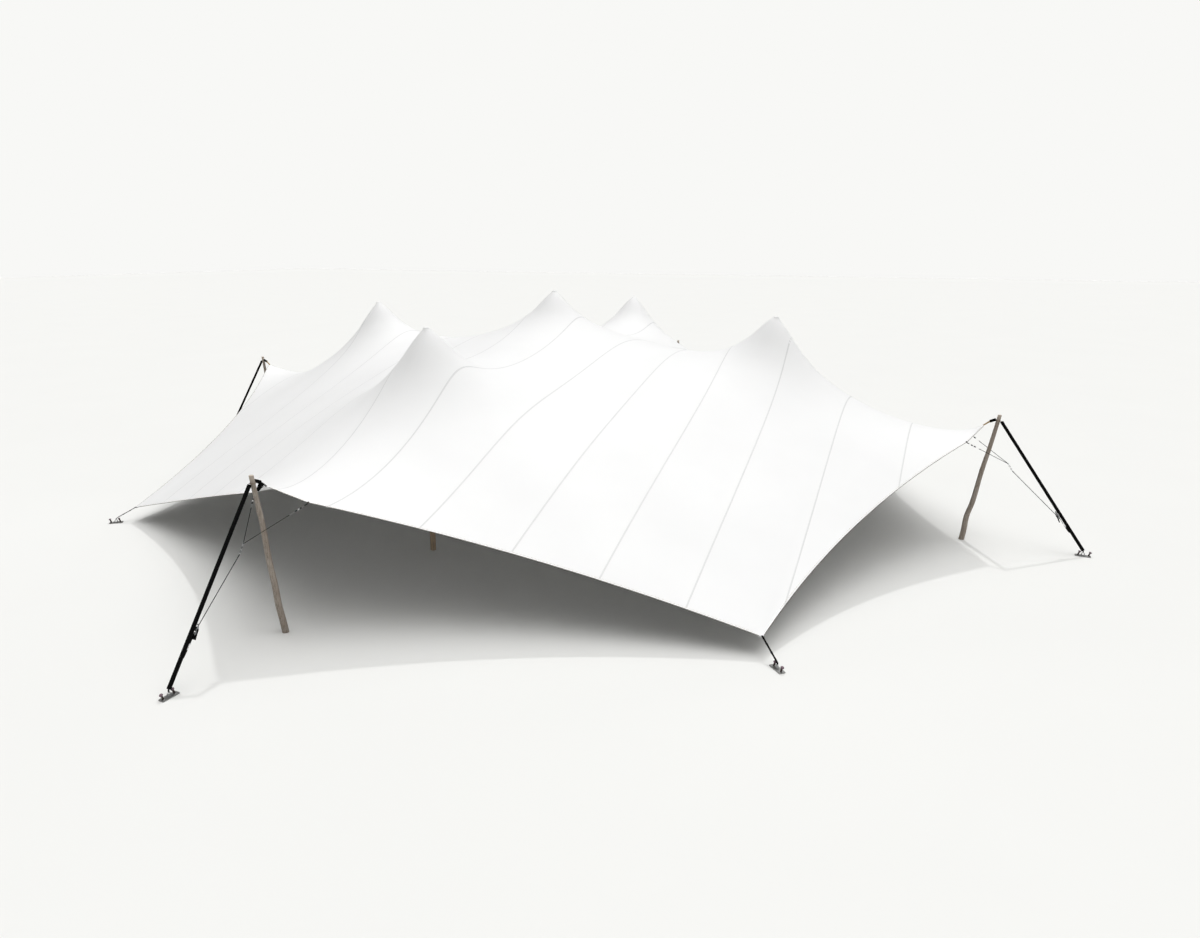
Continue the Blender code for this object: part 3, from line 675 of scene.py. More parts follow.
def outdoor_pole(name, dull, pale, brown, pale_top_from=None):
    """Peeled pole weathered outdoors: long drying checks, dull brown grain and paler rubbed
    streaks; pale_top_from is the height above which the wood is drawn paler."""
    made = new_material(name, brown, 0.74, Specular_IOR_Level=0.3)
    tree = made[1]
    grain = noise_spots(tree, 95.0, 6.0, (1, 1, 0.045), 0.65)
    broad = noise_spots(tree, 9.0, 3.0, (1, 1, 0.25))
    # a check opens where a slow noise, drawn out along the pole, passes its middle value
    slow = noise_spots(tree, 42.0, 1.0, (1, 1, 0.03))
    beside = maths(tree, "ABSOLUTE", maths(tree, "SUBTRACT", slow, 0.5))
    crack = ranged(tree, beside, 0.0, 1.0, 0.0, 0.014)
    tone = mixed(tree, ranged(tree, grain, 0.0, 1.0, 0.35, 0.65), dull, pale)
    tone = mixed(tree, ranged(tree, broad, 0.0, 0.55, 0.4, 0.7), tone, brown)
    tone = mixed(tree, crack, "4A4037", tone)
    # the wood is drawn paler above the given height
    if pale_top_from is not None:
        spot = add(tree, "ShaderNodeSeparateXYZ", {0: placed_coords(tree)})
        pale_top = ranged(tree, spot.outputs[2], 0.0, 0.65, pale_top_from, pale_top_from + 0.06)
        tone = mixed(tree, pale_top, tone, "C2B6A9")
    relief = maths(tree, "MULTIPLY_ADD", grain, crack, 0.4)
    return finished(*made, tone, ranged(tree, grain, 0.66, 0.84), relief, 0.004, 0.8)


def sawn_end_grain():
    """Sawn end of a pole: paler than its sides, with a fine torn grain."""
    made = new_material("sawn_end_grain", "BFB3A5", 0.8, Specular_IOR_Level=0.25)
    fine = noise_spots(made[1], 60.0, 4.0)
    tone = mixed(made[1], fine, "A99D8F", "D0C5B8")
    return finished(*made, tone, None, fine, 0.002, 0.6)


def galvanised_steel():
    """Hot-dip galvanised plate: mid grey, with spangle 8 mm across and dull scuffs."""
    made = new_material("galvanised_steel", "9C9C9B", 0.42, 1.0)
    tree = made[1]
    spangle = add(tree, "ShaderNodeTexVoronoi", {"Vector": placed_coords(tree), "Scale": 125.0})
    scuff = noise_spots(tree, 38.0, 5.0)
    tone = mixed(tree, spangle.outputs[0], "8B8B8A", "ADADAC")
    tone = mixed(tree, ranged(tree, scuff, 0.0, 0.6, 0.5, 0.75), tone, "6E6A65")
    return finished(*made, tone, ranged(tree, scuff, 0.34, 0.62), scuff, 0.0008, 0.5)


def zinc_plated_steel(name, colour, roughness):
    """Pressed steel, plated or blackened: clean, with fine rolled lines and dull fingermarks."""
    made = new_material(name, colour, roughness, 1.0)
    tree = made[1]
    lines = noise_spots(tree, 900.0, 2.0, (1, 1, 0.1))
    rough = ranged(tree, noise_spots(tree, 45.0, 4.0), roughness - 0.07, roughness + 0.14, 0.3, 0.7)
    return finished(*made, None, rough, lines, 0.0002, 0.35)


def painted_stake(name, colour, wear):
    """Forged stake, painted and then hammered: chips down to brown steel near the head."""
    made = new_material(name, colour, 0.5, Specular_IOR_Level=0.4)
    tree = made[1]
    chips = noise_spots(tree, 120.0, 6.0)
    tone = mixed(tree, ranged(tree, chips, 0.0, 1.0, 0.52, 0.6), colour, wear)
    return finished(*made, tone, ranged(tree, chips, 0.42, 0.7), chips, 0.0012, 0.6)


def moulded_nylon(name, colour):
    """Moulded glass-filled nylon: dull, with a fine spark-eroded grain."""
    made = new_material(name, colour, 0.55, Specular_IOR_Level=0.4)
    return finished(*made, relief=noise_spots(made[1], 1400.0), depth=0.0002, strength=0.5)


def pale_floor():
    """Smooth pale plaster floor of the studio."""
    made = new_material("pale_floor", "E1E1DF", 0.9, Specular_IOR_Level=0.0)
    return finished(*made, mixed(made[1], noise_spots(made[1], 0.3), "E0E0DE", "E2E2E0"))


WHITE = coated_stretch_knit()
TAPE = seam_tape()
BLACK = webbing("black_polyester_webbing", "010101", "060607", 0.004)
TAN = webbing("tan_polyester_webbing", "A0875E", "C4A878", 0.004, 0.8)
GREY_WEBBING = webbing("grey_polyester_webbing", "5E5E5D", "8A8A88", 0.004, 0.8)
COLLAR_CORD = webbing("natural_fibre_cord", "85796D", "A89C90", 0.005, 0.8)
EDGE_CORD = webbing("brown_edge_cord", "534C41", "736959", 0.005, 0.8)
ROPE = webbing("braided_dark_rope", "0E0E0F", "2C2C2D", 0.005, 0.78)
POLE_WOOD = outdoor_pole("weathered_eucalyptus", "857B70", "B3A99F", "94867A", PALE_TOP_FROM)
# the masts are paler wood than the side poles, and their colour is raised further as painted light,
# standing in for light reaching them under the canopy
MAST_WOOD = outdoor_pole("peeled_pine", "C4AA8E", "E0CBB2", "D0B394")
END_GRAIN = sawn_end_grain()
GALVANISED = galvanised_steel()
PRESSED = zinc_plated_steel("pressed_zinc_plated_steel", "B4B5B6", 0.42)
FRAME_STEEL = zinc_plated_steel("dulled_frame_steel", "9C9D9F", 0.60)
POLISHED = zinc_plated_steel("bright_hook_steel", "E2E3E4", 0.40)
BLACK_STEEL = zinc_plated_steel("blackened_steel", "17181A", 0.45)
STEM_PAINT = painted_stake("painted_stake_stem", "2E2422", "54463F")
HEAD_PAINT = painted_stake("painted_stake_head", "75606A", "55454A")
NYLON = moulded_nylon("black_moulded_nylon", "101011")
PALE_NYLON = moulded_nylon("pale_moulded_nylon", "E4E4E3")


# Pieces

def new_object(name, mesh):
    made = bpy.data.objects.new(name, mesh)
    bpy.context.scene.collection.objects.link(made)
    return made


def finish_piece(made, nodes=(), body="tent"):
    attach(made, body)
    if nodes:
        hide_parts(*nodes)
    return made


def new_piece(name, stock, looks, nodes=(), degrees=0.0, body="tent", sharp=38):
    return finish_piece(new_object(name, stock.mesh(name, looks, degrees, sharp)), nodes, body)


def grown(tree_object, tree, inputs, name):
    """The plain mesh that a node tree grows on an object, which is then removed."""
    modifier = tree_object.modifiers.new("grown", "NODES")
    modifier.node_group = tree
    sockets = {s.name: s.identifier for s in tree.interface.items_tree if s.item_type == "SOCKET"}
    for key, value in inputs.items():
        modifier[sockets[key]] = value
    tree_object.update_tag()
    graph = bpy.context.evaluated_depsgraph_get()
    mesh = bpy.data.meshes.new_from_object(tree_object.evaluated_get(graph), depsgraph=graph)
    mesh.name = name
    tree_object.modifiers.remove(modifier)
    bpy.data.objects.remove(tree_object, do_unlink=True)
    return new_object(name, mesh)


def repeat_tree(name):
    """Sets an item along every line of a mesh, aligned to it, at a named pitch and size."""
    tree = bpy.data.node_groups.new(name, "GeometryNodeTree")
    for label, kind in (("Lines", "Geometry"), ("Item", "Object"), ("Pitch", "Float"),
                        ("Size", "Vector"), ("Finish", "Material")):
        tree.interface.new_socket(label, in_out="INPUT", socket_type="NodeSocket" + kind)
    tree.interface.new_socket("Geometry", in_out="OUTPUT", socket_type="NodeSocketGeometry")
    given = add(tree, "NodeGroupInput").outputs
    curve = add(tree, "GeometryNodeMeshToCurve", {"Mesh": given["Lines"]})
    points = add(tree, "GeometryNodeCurveToPoints", {"Curve": curve.outputs[0], "Length": given["Pitch"]},
                 mode="LENGTH")
    item = add(tree, "GeometryNodeObjectInfo", {"Object": given["Item"]})
    made = add(tree, "GeometryNodeInstanceOnPoints", {
        "Points": points.outputs["Points"], "Instance": item.outputs["Geometry"],
        "Rotation": points.outputs["Rotation"], "Scale": given["Size"]})
    real = add(tree, "GeometryNodeRealizeInstances", {"Geometry": made.outputs[0]})
    dressed = add(tree, "GeometryNodeSetMaterial", {"Geometry": real.outputs[0],
                                                    "Material": given["Finish"]})
    add(tree, "NodeGroupOutput", {0: dressed.outputs[0]})
    return tree


REPEAT = repeat_tree("items_along_lines")


def line_object(name, lines):
    """Open lines as edges of one mesh."""
    points, edges = [], []
    for line in lines:
        first = len(points)
        points += [tuple(p) for p in line]
        edges += [(first + k, first + k + 1) for k in range(len(line) - 1)]
    mesh = bpy.data.meshes.new(name)
    mesh.from_pydata(points, edges, [])
    return new_object(name, mesh)


def repeated(name, lines, item, pitch, look, size):
    """Copies of an item at an even pitch along lines, as one piece of the membrane."""
    made = grown(line_object(name + "_lines", lines), REPEAT,
                 {"Item": item, "Pitch": pitch, "Size": size, "Finish": look}, name)
    return finish_piece(made)


# The membrane

def sheet_stock(top, drop):
    """A closed thin sheet from a grid of points on its upper face, with X and Y as its UV."""
    m, n = top.shape[:2]
    normal = unit(np.cross(np.gradient(top, axis=0), np.gradient(top, axis=1)))
    normal *= np.sign(normal[..., 2:3])
    low = top - drop * normal
    made = Stock()
    made.points = [tuple(p) for p in top.reshape(-1, 3)] + [tuple(p) for p in low.reshape(-1, 3)]
    index = np.arange(m * n).reshape(m, n)
    quads = np.stack([index[:-1, :-1], index[1:, :-1], index[1:, 1:], index[:-1, 1:]], -1).reshape(-1, 4)
    under = quads[:, ::-1] + m * n
    rim = np.concatenate([index[:, 0], index[-1, 1:], index[-2::-1, -1], index[0, -2:0:-1]])
    nxt = np.roll(rim, -1)
    wall = np.stack([nxt, rim, rim + m * n, nxt + m * n], -1)
    faces = np.concatenate([quads, under, wall])
    made.faces = [tuple(int(v) for v in f) for f in faces]
    flat = np.array(made.points)[:, :2]
    made.uv = flat[faces]
    made.look = [0] * len(faces)
    return made


def net_columns():
    """X of the columns: the seams, the corners, and close steps over the masts."""
    spots = (-MAST_R, 0.0, MAST_R)
    marks = [m for m in seam_marks() + [-TIP_CUT_R, -LOW_XY, LOW_XY, TIP_CUT_R]
             if all(abs(m - c) > 0.34 for c in spots)]
    for centre in spots:
        marks += [centre - 0.30, centre - 0.10, centre, centre + 0.10, centre + 0.30]
    marks = sorted(marks)
    values = []
    for low, high in zip(marks[:-1], marks[1:]):
        close = min(abs(0.5 * (low + high) - c) for c in spots)
        step = 0.020 if close < 0.10 else 0.05 if close < 0.3 else NET_STEP
        values.append(filled([low, high], step)[:-1])
    return np.concatenate(values + [[marks[-1]]])


def membrane_grid():
    columns = net_columns()
    ys = columns[(columns > -TIP_CUT_R) & (columns < 0)]
    _, x, y, rim_z = knots(columns, row_value(np.concatenate([[-TIP_CUT_R], ys, [0.0]])))
    z = cloth.height(x, y)
    z[:, 0] = z[:, -1] = rim_z
    return np.stack([x, y, z], -1)


def make_membrane():
    panels = ["canopy_panel_%d" % k for k in range(1, 9)]
    return new_piece("membrane", sheet_stock(membrane_grid(), CLOTH_THICK), [WHITE],
                     panels, sharp=60)


# steps outward and upward round the folded hem: at the rim, at the turn-in and below
HEM_RIM = ((0.0005, -0.0015), (-0.001, 0.0018), (-0.004, 0.0022))
HEM_INNER = ((0.0, 0.0016), (-0.0015, -0.0015), (0.0, -0.0048))
HEM_UNDER = ((-0.004, -0.0054), (-0.001, -0.005))


def rim_edges(inset=0.0, parts=130):
    """The eight edges as lines (x, y, z), moved in from the rim along the cloth."""
    steps = np.linalg.norm(np.diff(np.stack(EDGE), axis=1), axis=0)
    fine = np.concatenate([[0.0], np.cumsum(steps)])
    t = np.linspace(0.0, fine[-1], parts)
    x, y, z = (np.interp(t, fine, v) for v in EDGE)
    run = unit(np.gradient(np.stack([x, y], 1), axis=0))
    lines = []
    for quarter in range(4):
        for hand in (1, -1):
            px = hand * (x - run[:, 1] * inset)
            py = y + run[:, 0] * inset
            c, s = math.cos(quarter * math.pi / 2), math.sin(quarter * math.pi / 2)
            wx, wy = c * px - s * py, s * px + c * py
            lines.append((wx, wy, cloth.height(wx, wy) if inset else z))
    return lines


def make_hem():
    """Folded hem: a flat turn-in along the rim, closed by a brown cord 9 mm thick."""
    stock = Stock()
    for (x, y, z), (ix, iy, iz) in zip(rim_edges(), rim_edges(HEM_TURN)):
        out = unit(np.stack([x - ix, y - iy], 1))
        rings = []
        cord = []
        for k in range(1, len(x) - 1):
            edge = np.array([x[k], y[k], z[k]])
            turn_in = np.array([ix[k], iy[k], iz[k]])
            push = np.array([*out[k], 0.0])
            rings.append([edge + a * push + b * UP for a, b in HEM_RIM]
                         + [turn_in + a * push + b * UP for a, b in HEM_INNER]
                         + [edge + a * push + b * UP for a, b in HEM_UNDER])
            middle = edge + 0.001 * push - 0.0012 * UP
            cord.append([middle + HEM_CORD_RADIUS * (math.cos(a) * push + math.sin(a) * UP)
                         for a in round_angles(8)])
        stock.loft(rings)
        stock.loft(cord, 1)
    return new_piece("hem", stock, [WHITE, EDGE_CORD], sharp=50)


def seam_line(x0, y):
    """X of a seam at each Y: the two beside the front mast are drawn together at its tip."""
    pulled = np.clip((-y - MAST_R) / (TIP_R - MAST_R), 0.0, 1.0) ** 1.5
    share = np.clip(1 - abs(x0 + 0.60) / (1.25 * CLOTH_WIDTH), 0.0, 1.0)
    return x0 + SEAM_PULL * share * pulled


def make_seams():
    """A cover tape along each seam, 26 mm wide."""
    stock = Stock()
    threads = []
    for x0 in seam_marks() + [-LOW_XY]:
        rim = float(edge_at(np.array([x0]))[0][0])
        y = np.linspace(rim + 0.03, -rim - 0.03, max(12, int(abs(rim) * 2 / 0.09)))
        x = seam_line(x0, y)
        rings = [np.stack([x + dx, y, cloth.height(x + dx, y) + up], 1)
                 for dx, up in ((-TAPE_HALF, 0.0004), (-0.0115, 0.0014), (0.0115, 0.0014),
                                (TAPE_HALF, 0.0004), (0.011, -0.001), (-0.011, -0.001))]
        stock.loft(np.stack(rings, 1))
        for dx in (-0.0075, 0.0075):
            threads.append(np.stack([x + dx, y, cloth.height(x + dx, y) + 0.0016], 1))
    return new_piece("seam_tapes", stock, [TAPE], sharp=50), threads


def make_stitches(threads):
    """Long stitches, each a low rounded bar, along the tapes and the hem."""
    stock = Stock()
    stock.run([(0, 0, -0.5), (0, 0, 0), (0, 0, 0.5)], round_profile(0.5, 4), scale=[0.6, 1.0, 0.6])
    item = new_object("stitch", stock.mesh("stitch", [TAPE]))
    seams = repeated("seam_stitches", threads, item, SEAM_STITCH_PITCH, TAPE, (0.0022, 0.0014, 0.034))
    hem_lines = [np.stack(line, 1)[3:-3] + (0, 0, 0.0022) for line in rim_edges(0.024, 200)]
    edges = repeated("hem_stitches", hem_lines, item, HEM_STITCH_PITCH, TAN, (0.003, 0.0018, 0.040))
    bpy.data.objects.remove(item, do_unlink=True)
    return seams, edges


membrane = make_membrane()
hem = make_hem()
tapes, thread_lines = make_seams()
seam_stitches, hem_stitches = make_stitches(thread_lines)


def make_peak_caps():
    """Small sewn discs over the five mast heads, with a bound edge."""
    made = []
    a = round_angles(48)
    for name, (px, py, _) in MASTS.items():
        rings = []
        for r, up in ((0.003, -0.001), (0.058, -0.001), (0.0610, 0.0006), (0.060, 0.0018), (0.056, 0.0022),
                      (0.053, 0.0014), (0.040, 0.0015), (0.026, 0.0015), (0.013, 0.0016), (0.003, 0.0016)):
            x, y = px + r * np.cos(a), py + r * np.sin(a)
            rings.append(np.stack([x, y, cloth.height(x, y) + up], 1))
        stock = Stock()
        stock.loft(rings)
        made.append(new_piece("peak_cap_" + name, stock, [WHITE], sharp=50))
    return made


def corner_patch(name, degrees, radii, widths):
    """A pad 3 mm thick sewn over a corner of the cloth, following it."""
    a = math.radians(degrees)
    stock = Stock()
    rings = []
    for r, w in zip(radii, widths):
        upper, lower = [], []
        for s in np.linspace(-1, 1, 7):
            wx, wy = r * math.cos(a) - s * w * math.sin(a), r * math.sin(a) + s * w * math.cos(a)
            z = float(cloth.height(wx, wy))
            thick = 0.0024 if abs(s) == 1 else 0.003
            upper.append((wx, wy, z + thick))
            lower.append((wx, wy, z - CLOTH_THICK - thick))
        rings.append(upper + lower[::-1])
    stock.loft(rings)
    return new_piece(name, stock, [WHITE], sharp=50)


def make_patches():
    tips = [corner_patch("tip_patch_" + side, degrees, (9.600, 9.64, 9.68, 9.71, 9.735, 9.738),
                         (0.112, 0.095, 0.066, 0.044, 0.026, 0.024)) for side, degrees in RAISED]
    return tips + [corner_patch("low_patch_" + side, degrees, (9.69, 9.73, 9.77, 9.80, 9.825, 9.836),
                                (0.150, 0.125, 0.085, 0.050, 0.022, 0.012)) for side, degrees in LOW]


peak_caps = make_peak_caps()
patches = make_patches()


# Wood

def grown_pole(height, centre_at, radius_at, seed, sides=30, step=0.03):
    """Rings of a peeled pole with swellings, hollows and five knots."""
    rings = []
    knots = [(0.18 + 0.63 * ((seed * 0.37 + k * 0.291) % 1.0), (seed + k * 2.4) % 6.28) for k in range(5)]
    for z in np.linspace(0, height, int(height / step) + 1):
        centre = centre_at(z)
        row = []
        for a in round_angles(sides):
            dx, dy = math.cos(a), math.sin(a)
            swell = noise.noise(Vector((dx * 1.1, dy * 1.1, z * 1.7 + seed * 9.0)))
            fine = noise.noise(Vector((dx * 5.0, dy * 5.0, z * 2.5 + seed * 5.0)))
            r = radius_at(z) * (1 + 0.045 * swell + 0.018 * fine)
            for share, way in knots:
                turn = (a - way + math.pi) % (2 * math.pi) - math.pi
                off = math.hypot((z - share * height) / 0.05, turn / 0.45)
                r += 0.0045 * math.exp(-off * off)
            row.append((centre[0] + r * dx, centre[1] + r * dy, z))
        rings.append(row)
    return np.array(rings)


def with_ends(rings):
    """Stock of a pole whose two ends are broken over and show their sawn face."""
    stock = Stock()
    first, last = rings[0], rings[-1]
    low = first.mean(0) + (first - first.mean(0)) * 0.90
    high = last.mean(0) + (last - last.mean(0)) * 0.86
    low[:, 2] = first[0, 2]
    body = rings.copy()
    body[0, :, 2] += 0.003
    body[-1, :, 2] -= 0.004
    stock.loft(np.concatenate([[low], body, [high]]))
    stock.look[-2:] = [1, 1]
    return stock


def pole_axis(z):
    """Distance of a side pole's straight axis from the middle, and its radius, at a height."""
    t = z / POLE_HEIGHT
    return (POLE_FOOT_R + (POLE_TOP_R - POLE_FOOT_R) * t,
            POLE_FOOT_RADIUS + (POLE_TOP_RADIUS - POLE_FOOT_RADIUS) * t)


def make_side_pole(side, degrees, number):
    phase = 1.3 * number

    def centre(z):
        t = z / POLE_HEIGHT
        fade = math.sin(math.pi * t) ** 2
        bend = 0.012 * math.sin(2 * math.pi * t + phase) * fade
        crook = POLE_CROOK[side] * math.exp(-((t - 0.19) / 0.09) ** 2)
        return pole_axis(z)[0] + bend + crook, 0.015 * math.sin(3 * math.pi * t + 1.7 * phase) * fade

    stock = with_ends(grown_pole(POLE_HEIGHT, centre, lambda z: pole_axis(z)[1], 1.0 + number))
    new_piece("pole_" + side, stock, [POLE_WOOD, END_GRAIN], ["side_pole_" + side], degrees)


def make_mast(side, number):
    px, py, top = MASTS[side]
    height = top - CLOTH_THICK - 0.0025

    def radius(z):
        r = MAST_FOOT_RADIUS + (MAST_HEAD_RADIUS - MAST_FOOT_RADIUS) * z / top
        rounding = max(0.0, (z - (height - 0.022)) / 0.022)
        return r * math.sqrt(max(0.05, 1 - 0.62 * rounding ** 2))

    stock = with_ends(grown_pole(height, lambda z: (px, py), radius, 7.0 + number))
    # steel band and the heads of its two bolts
    r = radius(0.5 * (BAND_LOW + BAND_HIGH)) * 1.03
    outline = [(r - 0.003, BAND_LOW), (r + 0.001, BAND_LOW), (r + 0.0022, BAND_LOW + 0.0015),
               (r + 0.0022, BAND_HIGH - 0.0015), (r + 0.001, BAND_HIGH), (r - 0.003, BAND_HIGH)]
    stock.turned(outline, 40, 2, centre=(px, py, 0), closed=True)
    head = [(0.0001, 0.0), (0.006, 0.0), (0.0066, 0.0008), (0.0066, 0.0032), (0.0056, 0.0042),
            (0.0001, 0.0045)]
    for level in (BAND_LOW + 0.017, BAND_HIGH - 0.017):
        stock.turned(head, 6, 2, Matrix.Translation((px, py, level)) @ turn_about("Z", -62)
                     @ Matrix.Translation((r + 0.0015, 0, 0)) @ turn_about("Y", 90))
    new_piece("mast_pole_" + side, stock, [MAST_WOOD, END_GRAIN, GALVANISED], ["mast_" + side])


for number, (side, degrees) in enumerate(RAISED):
    make_side_pole(side, degrees, number)
for number, side in enumerate(MASTS):
    make_mast(side, number)


# Guy straps

def strap_matrix(tilt=0.0, at=(RATCHET_R, 0, RATCHET_Z)):
    return Matrix.Translation(at) @ Matrix.Rotation(STRAP_ANGLE + tilt, 4, "Y")


def strap_point(along, inward):
    """A point given along the strap from the ratchet and inward of the strap's line."""
    ca, sa = math.cos(STRAP_ANGLE), math.sin(STRAP_ANGLE)
    return (RATCHET_R + along * ca - inward * sa, 0.0, RATCHET_Z - along * sa - inward * ca)


TIP_EDGE_Z = float(edge_at(np.array([0.0]))[1][0])
SHACKLE_TOP = PLATE[2] - 0.002 + 2 * BOW_RADIUS + BOW_BAR


def make_guy_strap(side, degrees, twin):
    stock = Stock()
    # padded sleeve: webbing folded round a core, sewn along both edges and cut off square
    sleeve = round_profile(1.1 * STRAP_HALF, 20)
    sleeve[:, 1] *= 0.96
    sleeve[[0, 10]] *= 1.06
    head, foot = upright(*((r, STRAP_HEAD[1] + (r - STRAP_HEAD[0]) * STRAP_SLOPE) for r in SLEEVE_ENDS))
    way = unit(foot - head)
    stock.run(straight(head, foot, 60), sleeve)
    for end, inward in ((head, way), (foot, -way)):
        stock.run(straight(end + 0.002 * inward, end + 0.042 * inward, 3), sleeve * 1.05)
    # neck of flat webbing down to the shackle
    neck = upright((ANCHOR_R - 0.001, foot[2] - 0.014), (ANCHOR_R, SHACKLE_TOP + 0.004))
    stock.run(smooth_path([foot - 0.01 * way, *neck], 5), band_profile(0.026, 0.016, 0.002))
    # two turns of cord round the pole head, and their tails to the sleeve and to the leg
    cx, radius = pole_axis(COLLAR_Z)
    a = round_angles(40)
    for level in (COLLAR_Z - 0.0045, COLLAR_Z + 0.0045):
        ring = []
        for out, up in ((0.0008, -0.003), (0.0042, -0.004), (0.0062, 0.0), (0.0042, 0.004),
                        (0.0008, 0.003)):
            r = radius * 1.02 + out
            ring.append(np.stack([cx + r * np.cos(a), r * np.sin(a), np.full(40, level + up)], 1))
        stock.loft(np.stack(ring, 1), 2, closed=True)
    for hand in (-1, 1):
        tail = [(cx + 0.020, hand * (radius + 0.002), COLLAR_Z), (10.036, hand * 0.022, 2.574),
                (10.056, hand * 0.010, 2.552)]
        stock.run(smooth_path(tail, 5), round_profile(0.004, 8), 2, side=(0, 0, 1))
    tail = upright((cx - radius - 0.001, COLLAR_Z + 0.002), (LEG_HEAD[0] + 0.004, LEG_HEAD[1]))
    stock.run(straight(*tail, 4), round_profile(0.006, 10), 2, side=None)
    # padded leg, and the flat webbing from it on to the corner of the cloth
    stock.run(straight(*upright(LEG_HEAD, LEG_FOOT), 6), band_profile(0.056, 0.054))
    if twin:
        stock.run(straight(*upright((9.905, 2.436), (9.812, 2.528)), 6), band_profile(0.050, 0.048),
                  scale=np.linspace(0.95, 1.7, 6))
    flat = upright((LEG_FOOT[0] + 0.008, LEG_FOOT[1]), (9.792, 2.516), (9.728, TIP_EDGE_Z - 0.001))
    flat = smooth_path(flat, 6)
    stock.run(flat, band_profile(0.042, 0.028), 3 if twin else 1, scale=np.linspace(1.0, 0.85, len(flat)))
    # sewn tab that takes the ratchet hook
    tab = [strap_point(HOOK_END + along, inward)
           for along, inward in ((0.004, 0.042), (0.030, 0.040), (0.075, 0.037), (0.120, 0.031))]
    stock.run(smooth_path(tab, 5), band_profile(0.028, 0.020, 0.001))
    new_piece("guy_" + side, stock, [BLACK, TAN, COLLAR_CORD, GREY_WEBBING],
              ["guy_strap_" + side], degrees)


def make_corner_strap(side, degrees):
    stock = Stock()
    band = upright((9.850, 0.309), (9.990, 0.236), (10.130, 0.163), (10.226, 0.112), (10.246, 0.094),
                   (LOW_ANCHOR_R, SHACKLE_TOP + 0.002))
    stock.run(smooth_path(band, 5), band_profile(0.030, 0.0110, 0.0008))
    # doubled end with its sewn box, and the three-bar slide
    start, end = upright((9.862, 0.3025), (10.226, 0.112))
    half = unit(end - start) * 0.016
    for at, look in ((0.24, 0), (0.62, 1)):
        p = start + (end - start) * at
        stock.run(straight(p - half, p + half, 4), band_profile(0.036, 0.0160), look)
    toe = upright((9.800, LOW_Z + 0.008), (9.838, LOW_Z + 0.001), (9.872, 0.297))
    stock.run(smooth_path(toe, 5), band_profile(0.034, 0.013))
    new_piece("low_strap_" + side, stock, [BLACK, BLACK_STEEL],
              ["corner_strap_" + side], degrees)


for side, degrees in RAISED:
    make_guy_strap(side, degrees, side == "front")
for side, degrees in LOW:
    make_corner_strap(side, degrees)


# Bridles

def chain_link(length, width, bar):
    """Rings of one oval link, as a closed loop in the X and Z plane along Z."""
    r = width / 2
    path = upright(*((r * math.cos(a), middle + r * math.sin(a))
                     for first, middle in ((0, length / 2 - r), (180, -length / 2 + r))
                     for a in np.radians(first + 30.0 * np.arange(7))))
    tangent = unit(np.roll(path, -1, 0) - np.roll(path, 1, 0))
    profile = round_profile(bar, 8)
    return np.array([p + profile[:, :1] * np.array(ACROSS) + profile[:, 1:] * np.cross(d, ACROSS)
                     for p, d in zip(path, tangent)])


def aim(start, end):
    """A place at start whose +Z looks at end and whose +Y is as near upright as it can be."""
    d = (Vector(end) - Vector(start)).normalized()
    return Matrix.Translation(start) @ d.to_track_quat("Z", "Y").to_matrix().to_4x4()


def beaded(stock, start, way, beads):
    """Lengths of cord and toggles strung one after another; returns where they end."""
    at = np.array(start, float)
    for long, radius, look in beads:
        ends = (0.5, 0.85, 1, 1, 1, 0.85, 0.5) if radius > 0.005 else (1,) * 7
        stock.run(straight(at, at + way * long, 7), round_profile(radius, 14), look, side=None, scale=ends)
        at = at + way * (long - 0.002)
    return at


def laid_line(stock, start, end, radius, parts, whipping):
    """Three-strand line, with a whipping of a given length and radius where it starts."""
    strand = round_profile(radius, 9)
    strand[::3] *= 0.78
    stock.run(straight(start, end, parts), strand, side=None, twist=2 * math.pi / LAY_LENGTH)
    whipped = straight(start, start + unit(end - start) * whipping[0], 3)
    stock.run(whipped, round_profile(whipping[1], 10), 1, side=None)


